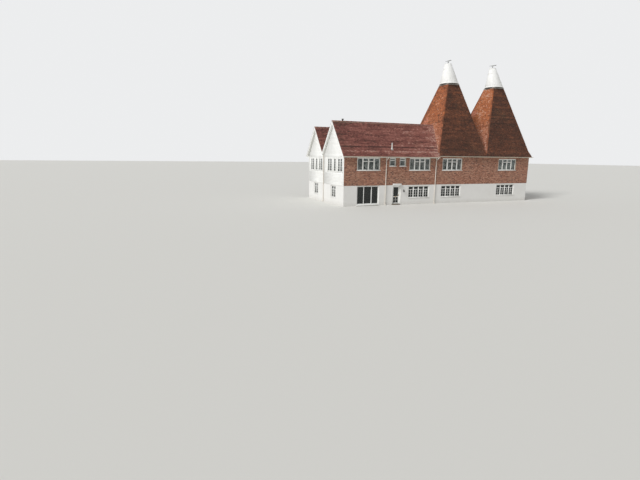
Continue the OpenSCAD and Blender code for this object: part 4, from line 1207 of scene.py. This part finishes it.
# %% Downpipe fittings
pipe_r, clip_heights = 0.038, (0.35, 1.95, 3.6)
fittings, clips = [], []
for low, high in solid_boxes("downpipes"):
    at = Vector(((low.x + high.x) / 2, (low.y + high.y) / 2, 0))
    gaps = {south: front_y - at.y, north: at.y - rear_y, west: west_x - at.x, east: at.x - east_x}
    out = Vector((*max(gaps, key=gaps.get), 0))
    wall, side = at - out * max(gaps.values()), Vector((-out.y, out.x, 0)) * 0.065
    for z in clip_heights:
        fittings.append(upright(at, z - 0.03, z + 0.03, pipe_r + 0.006))
        clips += [(wall + side + UP * z, wall - side + UP * z, out, (-0.02, 0.02), (0.0, 0.01)),
                  (wall + UP * z, at + UP * z, UP, (-0.012, 0.012), (-0.012, 0.012))]
    fittings += [(at + UP * 0.1, at + out * 0.12 + UP * 0.045, pipe_r + 0.004),
                 upright(at, 0.09, 0.17, pipe_r + 0.007)]
    if abs(out.y) > 0.5:
        bend = at + UP * (soffit_z - 0.27)
        outlet = Vector((at.x, gutter_y["range"][out.y > 0], soffit_z - 0.03))
        fittings += [upright(bend, -0.09, 0.03, pipe_r + 0.007), (bend, outlet - UP * 0.03, pipe_r),
                     upright(outlet, -0.06, 0.04, pipe_r + 0.006)]
tubes("downpipe_fittings", fittings, pipe_finish)
beams("downpipe_clips", clips, pipe_finish)

# %% [markdown]
# The vent pipe gets a lead slate where it leaves the roof and a wire cage on its mouth. A small dark
# terminal stands on the front ridge.

# %% Roof terminals
vent_low, vent_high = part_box("vent_pipe")
vent_at = (vent_low + vent_high) / 2
vent_r = (vent_high.x - vent_low.x) / 2
slate, mouth = vent_at.copy(), vent_at.copy()
slate.z, mouth.z = ridge_z[0] - rise * abs(vent_at.y - ridge_y[0]), vent_high.z
down = Vector((0, -math.cos(pitch), -math.sin(pitch)))
collars = [upright(slate, -0.08, 0.1, vent_r + 0.01), upright(mouth, -0.05, 0.002, vent_r + 0.008)]
tubes("vent_collar", collars, vent_finish)
sheet = (slate + down * 0.16, slate - down * 0.12, slope_normal(-1), (-0.13, 0.13), (0.018, 0.034))
beams("vent_slate", [sheet], lead_lightened_as_painted_light)
cage = []
for k in range(4):
    ray = Vector((math.cos(math.pi * k / 4), math.sin(math.pi * k / 4), 0)) * vent_r * 0.8
    wire = ((-1, -0.01), (-0.8, 0.05), (0, 0.085), (0.8, 0.05), (1, -0.01))
    cage += chain([mouth + ray * c + UP * h for c, h in wire], 0.003)
tubes("vent_cage", cage, vent_finish)
terminal = Vector((west_x + 0.95, ridge_y[0], ridge_z[0]))
rings = ((-0.05, 0.16, 0.075), (0.13, 0.155, 0.12), (0.19, 0.215, 0.13), (0.15, 0.2, 0.06))
tubes("ridge_terminal", [upright(terminal, *ends) for ends in rings], felt_finish)

# %% [markdown]
# A cowl is a leaning cone of tapered boards, called staves, with a mouth cut in the side that leans
# over. The CAD cone is their core. The staves are laid on its flat facets, then cut for the mouth
# with a boolean, as a builder would saw them in place. Hoops hold them at the rim, at the sill and the
# head of the mouth and below the cap. The lid is a shallow cone whose rim is bevelled.

# %% Cowl boards
cowl_bodies = ("first_cowl", "second_cowl")
cowl_turn = [math.radians(-12), math.radians(-30)]
rim_r, cap_r, cowl_lean, stave_count = 1.01, 0.36, 0.33, 32
mouth_w, mouth_top_w, mouth_low, mouth_high = 1.0, 0.62, 0.38, 1.56
rim_z, cap_z = (corner.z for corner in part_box("cowl_1"))
cowl_h = cap_z - rim_z
stave_t, rim_drop = 0.012, 0.03


def cowl_matrix(i):
    """Takes a point given from the middle of the rim, mouth towards +Y, to its place on kiln i."""
    return Matrix.Translation(kiln_axis[i] + UP * rim_z) @ Matrix.Rotation(-cowl_turn[i], 4, "Z")


def on_cone(turn, z, out=0.0):
    """Point on the leaning cone, by its turn round it and its height, or standing out from it."""
    r = rim_r + (cap_r - rim_r) * z / cowl_h + out
    return Vector((r * math.cos(turn), r * math.sin(turn) + cowl_lean * z / cowl_h, z))


def facet_turns(test=lambda turn: True):
    """Where each flat facet starts and ends, for those whose middle passes a test."""
    step = 2 * math.pi / stave_count
    return [(k * step, (k + 1) * step) for k in range(stave_count) if test((k + 0.5) * step)]


def cowl_staves(i):
    parts = []
    for a, b in facet_turns():
        foot_a, foot_b = on_cone(a, -rim_drop), on_cone(b, -rim_drop)
        low, high = (foot_a + foot_b) / 2, (on_cone(a, cowl_h) + on_cone(b, cowl_h)) / 2
        half, length = (foot_a - foot_b).length / 2 - 0.0015, (high - low).length
        across, along = (on_cone(b, 0) - on_cone(a, 0)).normalized(), (high - low).normalized()
        shape = stretched(block, [(-half, half, 0, length, -0.004, stave_t)])[0]
        shape[:, 0] *= 1 - (1 - cap_r / rim_r) * shape[:, 1] / length
        parts.append(shape @ np.array([across, along, across.cross(along)]) + np.array(low))
    piece = joined(f"cowl_{i + 1}_staves", np.array(parts), block, cowl_finish,
                   cowl_bodies[i])
    piece.data.transform(cowl_matrix(i))
    nothing_selected()
    bpy.ops.mesh.primitive_cube_add(size=1)
    saw = bpy.context.object
    for corner in saw.data.vertices:
        corner.co.x *= mouth_w if corner.co.z < 0 else mouth_top_w
    for move in (Matrix.Diagonal((1, rim_r, mouth_high - mouth_low, 1)),
                 Matrix.Translation((0, rim_r / 2, (mouth_low + mouth_high) / 2)), cowl_matrix(i)):
        saw.data.transform(move)
    cut = piece.modifiers.new("mouth", "BOOLEAN")
    cut.object, cut.solver = saw, "EXACT"
    bpy.context.view_layer.objects.active = piece
    bpy.ops.object.modifier_apply(modifier=cut.name)
    bpy.data.objects.remove(saw)


def faces_mouth(turn):
    at = on_cone(turn, mouth_low)
    return abs(at.x) < mouth_w / 2 and at.y > 0


def cowl_hoops(i):
    parts = []
    for z, tall, thick, turns in (
            (-rim_drop, 0.12, 0.014, facet_turns()), (cowl_h - 0.09, 0.08, 0.01, facet_turns()),
            (mouth_low - 0.05, 0.05, 0.02, facet_turns(faces_mouth)),
            (mouth_high, 0.06, 0.02, facet_turns(lambda turn: math.sin(turn) > -0.3))):
        for a, b in turns:
            start, end = on_cone(a, z, stave_t), on_cone(b, z, stave_t)
            lift = (on_cone((a + b) / 2, z + 0.5) - on_cone((a + b) / 2, z)).normalized()
            parts.append((start, end, (end - start).cross(lift), (0.0, tall), (-0.006, thick)))
    piece = beams(f"cowl_{i + 1}_hoops", parts, cowl_finish, cowl_bodies[i])
    piece.data.transform(cowl_matrix(i))


for i in (0, 1):
    cowl_staves(i)
    cowl_hoops(i)
    nothing_selected()
    bpy.ops.mesh.primitive_cone_add(vertices=stave_count, radius1=cap_r + 0.03, radius2=0.04, depth=0.07)
    lid = bevelled(bpy.context.object, 0.012, lambda middle: middle.z < -0.03 and middle.xy.length > 0.3, 2)
    lid.data.transform(cowl_matrix(i) @ Matrix.Translation((0, cowl_lean, cowl_h + 0.036)))
    dressed(lid, f"cowl_{i + 1}_lid", cowl_finish, cowl_bodies[i])

# %% [markdown]
# The vane is a pierced iron board on a stem. A ball tops the stem, a collar holds its foot, and thin
# scrolls brace the board.

# %% Vane details
vane_foot = Vector((0, cowl_lean, cowl_h))
ball_z, ball_r = 0.34, 0.028
quarter = np.linspace(0, math.pi / 2, 7)
for i in (0, 1):
    bars = [upright(vane_foot, 0.06, 0.1, 0.05), upright(vane_foot, 0.17, 0.185, 0.04)]
    for side in (-1, 1):
        reach = 0.181 + 0.0075 * side
        arc = [(0, side * (0.03 + 0.17 * (1 - math.cos(a))), 0.12 + reach * math.sin(a)) for a in quarter]
        bars += chain([vane_foot + Vector(at) for at in arc], 0.008)
    piece = tubes(f"vane_{i + 1}_braces", bars, vane_paint_greyed_for_glare, cowl_bodies[i])
    piece.data.transform(cowl_matrix(i))
    nothing_selected()
    bpy.ops.mesh.primitive_uv_sphere_add(segments=16, ring_count=10, radius=ball_r)
    ball = bpy.context.object
    ball.data.transform(cowl_matrix(i) @ Matrix.Translation(vane_foot + UP * ball_z))
    dressed(ball, f"vane_{i + 1}_ball", vane_paint_greyed_for_glare, cowl_bodies[i])

# %% [markdown]
# The front door is nearly all glass, with a rail low down and small panes below it. The bars are
# put on both sides of the glass. A lever handle, a letter plate and a weatherboard at the foot
# finish it. All of these ride on the leaf, so they swing with it.

# %% Front door
leaf_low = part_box("front_door")[0]
pane_low, pane_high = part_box("front_door_glass")
leaf_out, leaf_in = leaf_low.y, leaf_low.y + 0.045
left, right, foot, head = pane_low.x, pane_high.x, pane_low.z, pane_high.z
rail_z = foot + (head - foot) * 0.36
middle, half_z = (left + right) / 2, (foot + rail_z) / 2
bars = ((left, right, rail_z, rail_z + 0.09), (middle - 0.011, middle + 0.011, foot, rail_z),
        (left, right, half_z - 0.011, half_z + 0.011), (left, left + 0.016, foot, head),
        (right - 0.016, right, foot, head), (left, right, head - 0.016, head))
both_sides = ((leaf_out - 0.003, pane_low.y), (pane_high.y, leaf_in + 0.003))
door_bars = [(x0, x1, *deep, z0, z1) for deep in both_sides for x0, x1, z0, z1 in bars]
door_bars.append((left - 0.06, right + 0.06, leaf_out - 0.03, leaf_out,
                  leaf_low.z + 0.015, leaf_low.z + 0.06))
boxes("door_rails_and_bars", door_bars, joinery_finish, "front_door_leaf")
lever_x, lever_z = right + 0.055, 1.02
levers = []
for y, way in ((leaf_out, -1), (leaf_in, 1)):
    hub, out = Vector((lever_x, y, lever_z)), Vector((0, way, 0))
    levers += [(hub, hub + out * 0.045, 0.009), (hub, hub + out * 0.009, 0.024)]
    grip = hub + out * 0.042
    levers.insert(-1, (grip + Vector((0.006, 0, 0)), grip - Vector((0.115, 0, 0)), 0.008))
tubes("door_levers", levers, brass_finish, "front_door_leaf")
plates = [(lever_x - 0.02, lever_x + 0.02, leaf_out - 0.004, leaf_out, lever_z - 0.11, lever_z + 0.08),
          (middle - 0.13, middle + 0.13, leaf_out - 0.008, leaf_out - 0.003, rail_z + 0.02, rail_z + 0.07)]
boxes("door_plates", plates, brass_finish, "front_door_leaf", small_block)

# %% [markdown]
# A bead runs round the door's reveal, and a shallow flat hood keeps the rain off it. Its top is a
# painted board with a moulded edge. The sill below is a worn timber threshold.

# %% Door surround
frame_low, frame_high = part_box("front_door_frame")
door_middle, hood_top_z = (frame_low.x + frame_high.x) / 2, frame_high.z
surround = [(x - 0.0195, x + 0.0195, front_y - 0.014, front_y + 0.02, 0.1, storey_z)
            for x in (frame_low.x - 0.0155, frame_high.x + 0.0155)]
for half, y, z0, z1 in ((0.46, 0.03, storey_z - 0.03, storey_z + 0.002),
                        (0.492, -0.01, hood_top_z - 0.05, hood_top_z - 0.02),
                        (0.5, -0.018, hood_top_z, hood_top_z + 0.018)):
    surround.append((door_middle - half, door_middle + half, frame_low.y + y, front_y, z0, z1))
boxes("door_surround", surround, joinery_finish)
threshold = (frame_low.x + 0.02, frame_high.x - 0.02, front_y - 0.07, front_y + 0.06, 0.045, 0.1)
boxes("door_threshold", [threshold], oak_finish)

# %% [markdown]
# The patio door has three panels and no bars. Thin beads hold the glass, a sill with a drip runs
# along its foot, and the sliding panel has a pull handle on its room side.

# %% Patio door
patio_low, patio_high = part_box("patio_door_frame")
slider_low, slider_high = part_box("patio_sliding_door")
pane_low, pane_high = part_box("patio_sliding_glass")


bead_w, bead_t, patio_jamb, patio_stile = 0.012, 0.009, 0.05, 0.06


def beads_round(x0, x1, z0, z1, y):
    """Four beads round a pane, standing out from y to the room side."""
    return [(a, b, y, y + bead_t, c, d) for a, b, c, d in ring(x0, x1, z0, z1, bead_w)]


beads = []
light_w = (patio_high.x - patio_low.x - 2 * patio_jamb) / 3
for k in (0, 2):
    x0 = patio_low.x + patio_jamb + k * light_w + patio_stile
    beads += beads_round(x0, x0 + light_w - 2 * patio_stile, pane_low.z - 0.005, pane_high.z,
                         patio_low.y + 0.012)
beads += [(patio_low.x - 0.04, patio_high.x + 0.04, front_y - 0.05, patio_low.y, 0.05, 0.1),
          (patio_low.x, patio_high.x, front_y - 0.03, patio_low.y, 0.1, 0.125)]
boxes("patio_sill_and_beads", beads, joinery_finish, pattern=small_block)
beads = beads_round(pane_low.x, pane_high.x, pane_low.z, pane_high.z, pane_high.y)
boxes("patio_slider_beads", beads, joinery_finish, "patio_slider", small_block)
pull = Vector((slider_low.x + 0.03, slider_high.y, 0))
inward = Vector((0, 1, 0))
grip = pull + inward * 0.042
pull_bars = [(pull + UP * z, pull + UP * z + inward * 0.045, 0.008) for z in (0.95, 1.15)]
pull_bars.append(upright(grip, 0.93, 1.17, 0.009))
tubes("patio_pull", pull_bars, black_finish, "patio_slider")

# %% [markdown]
# The small lantern beside the door is a six-sided iron one. Its tapered glass comes from a cone with
# six sides, thin rods make the corners, and a pointed lid sits on top.

# %% Lantern
lamp_low, lamp_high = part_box("wall_lantern")
lamp = Vector(((lamp_low.x + lamp_high.x) / 2, front_y - 0.13, 0))
glass_low, glass_high = lamp_low.z + 0.05, lamp_low.z + 0.18
for name, z0, z1, r0, r1, finish, slot in (
        ("lantern_glass", glass_low, glass_high, 0.038, 0.055, glass_finish, "window_glass"),
        ("lantern_lid", glass_high, glass_high + 0.06, 0.068, 0.016, black_finish, "black_lantern"),
        ("lantern_tray", glass_low - 0.018, glass_low, 0.03, 0.045, black_finish, "black_lantern")):
    nothing_selected()
    bpy.ops.mesh.primitive_cone_add(vertices=6, radius1=r0, radius2=r1, depth=z1 - z0,
                                    location=(lamp.x, lamp.y, (z0 + z1) / 2))
    bpy.ops.object.transform_apply(location=True)
    dressed(bevelled(bpy.context.object, 0.0015), name, finish)
iron = [upright(lamp, glass_high + 0.055, lamp_high.z, 0.007)]
for k in range(6):
    turn = k * math.pi / 3 + math.pi / 2
    ray = Vector((math.cos(turn), math.sin(turn), 0))
    iron.append((lamp + ray * 0.039 + UP * glass_low, lamp + ray * 0.057 + UP * glass_high, 0.0035))
arm_z = lamp_high.z - 0.03
iron += chain([Vector((lamp.x, front_y - 0.02 - 0.11 * math.sin(a), arm_z - 0.13 * math.cos(a)))
               for a in np.linspace(0, math.pi / 2, 6)], 0.006)
iron += [(Vector((lamp.x, lamp_high.y, arm_z)), lamp + UP * arm_z, 0.006),
         upright(lamp, lamp_low.z, glass_low - 0.015, 0.006)]
iron_piece = tubes("lantern_ironwork", iron, black_finish)
plate = (lamp.x - 0.035, lamp.x + 0.035, front_y - 0.022, front_y, lamp_low.z + 0.08, lamp_high.z)
boxes("lantern_plate", [plate], black_finish)
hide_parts("wall_lantern")

# %% [markdown]
# Stage: a plain pale floor, a soft sky and one broad sun from the left, which the west faces of
# the kilns catch. The sky lights the house softly and is brighter only for the camera, for
# reflections and through glass.

# %% Stage and light
nothing_selected()
bpy.ops.mesh.primitive_plane_add(size=800)
floor = bpy.context.object
floor.name = "stage_floor"
floor.data.materials.append(new_material("pale floor", Roughness=0.9))
fill(surface.inputs["Base Color"], "d8d7d2")
floor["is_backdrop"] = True

world = bpy.data.worlds.new("sky")
bpy.context.scene.world = world
world.use_nodes = True
tree = world.node_tree
path = tree.nodes.new("ShaderNodeLightPath").outputs
seen = combine("ADD", path["Is Camera Ray"], path["Is Glossy Ray"], use_clamp=True)
seen = combine("ADD", seen, path["Is Transmission Ray"], use_clamp=True)
light_strength, backdrop_strength = 0.42, 0.88
background = tree.nodes["Background"]
fill(background.inputs["Color"], "fafbfc")
fill(background.inputs["Strength"], between(seen, 0, 1, light_strength, backdrop_strength))

sun_from = Vector((-0.73, -0.26, 0.63))
bpy.ops.object.light_add(type="SUN")
sun = bpy.context.object
sun.name = "sun"
sun.rotation_euler = (-sun_from).to_track_quat("-Z", "Y").to_euler()
sun.data.energy = 2.44
sun.data.angle = math.radians(18)
print("light", sun.data.energy, light_strength)

# %% View transform and bounds
bpy.context.scene.view_settings.view_transform = "Standard"
low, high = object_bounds()
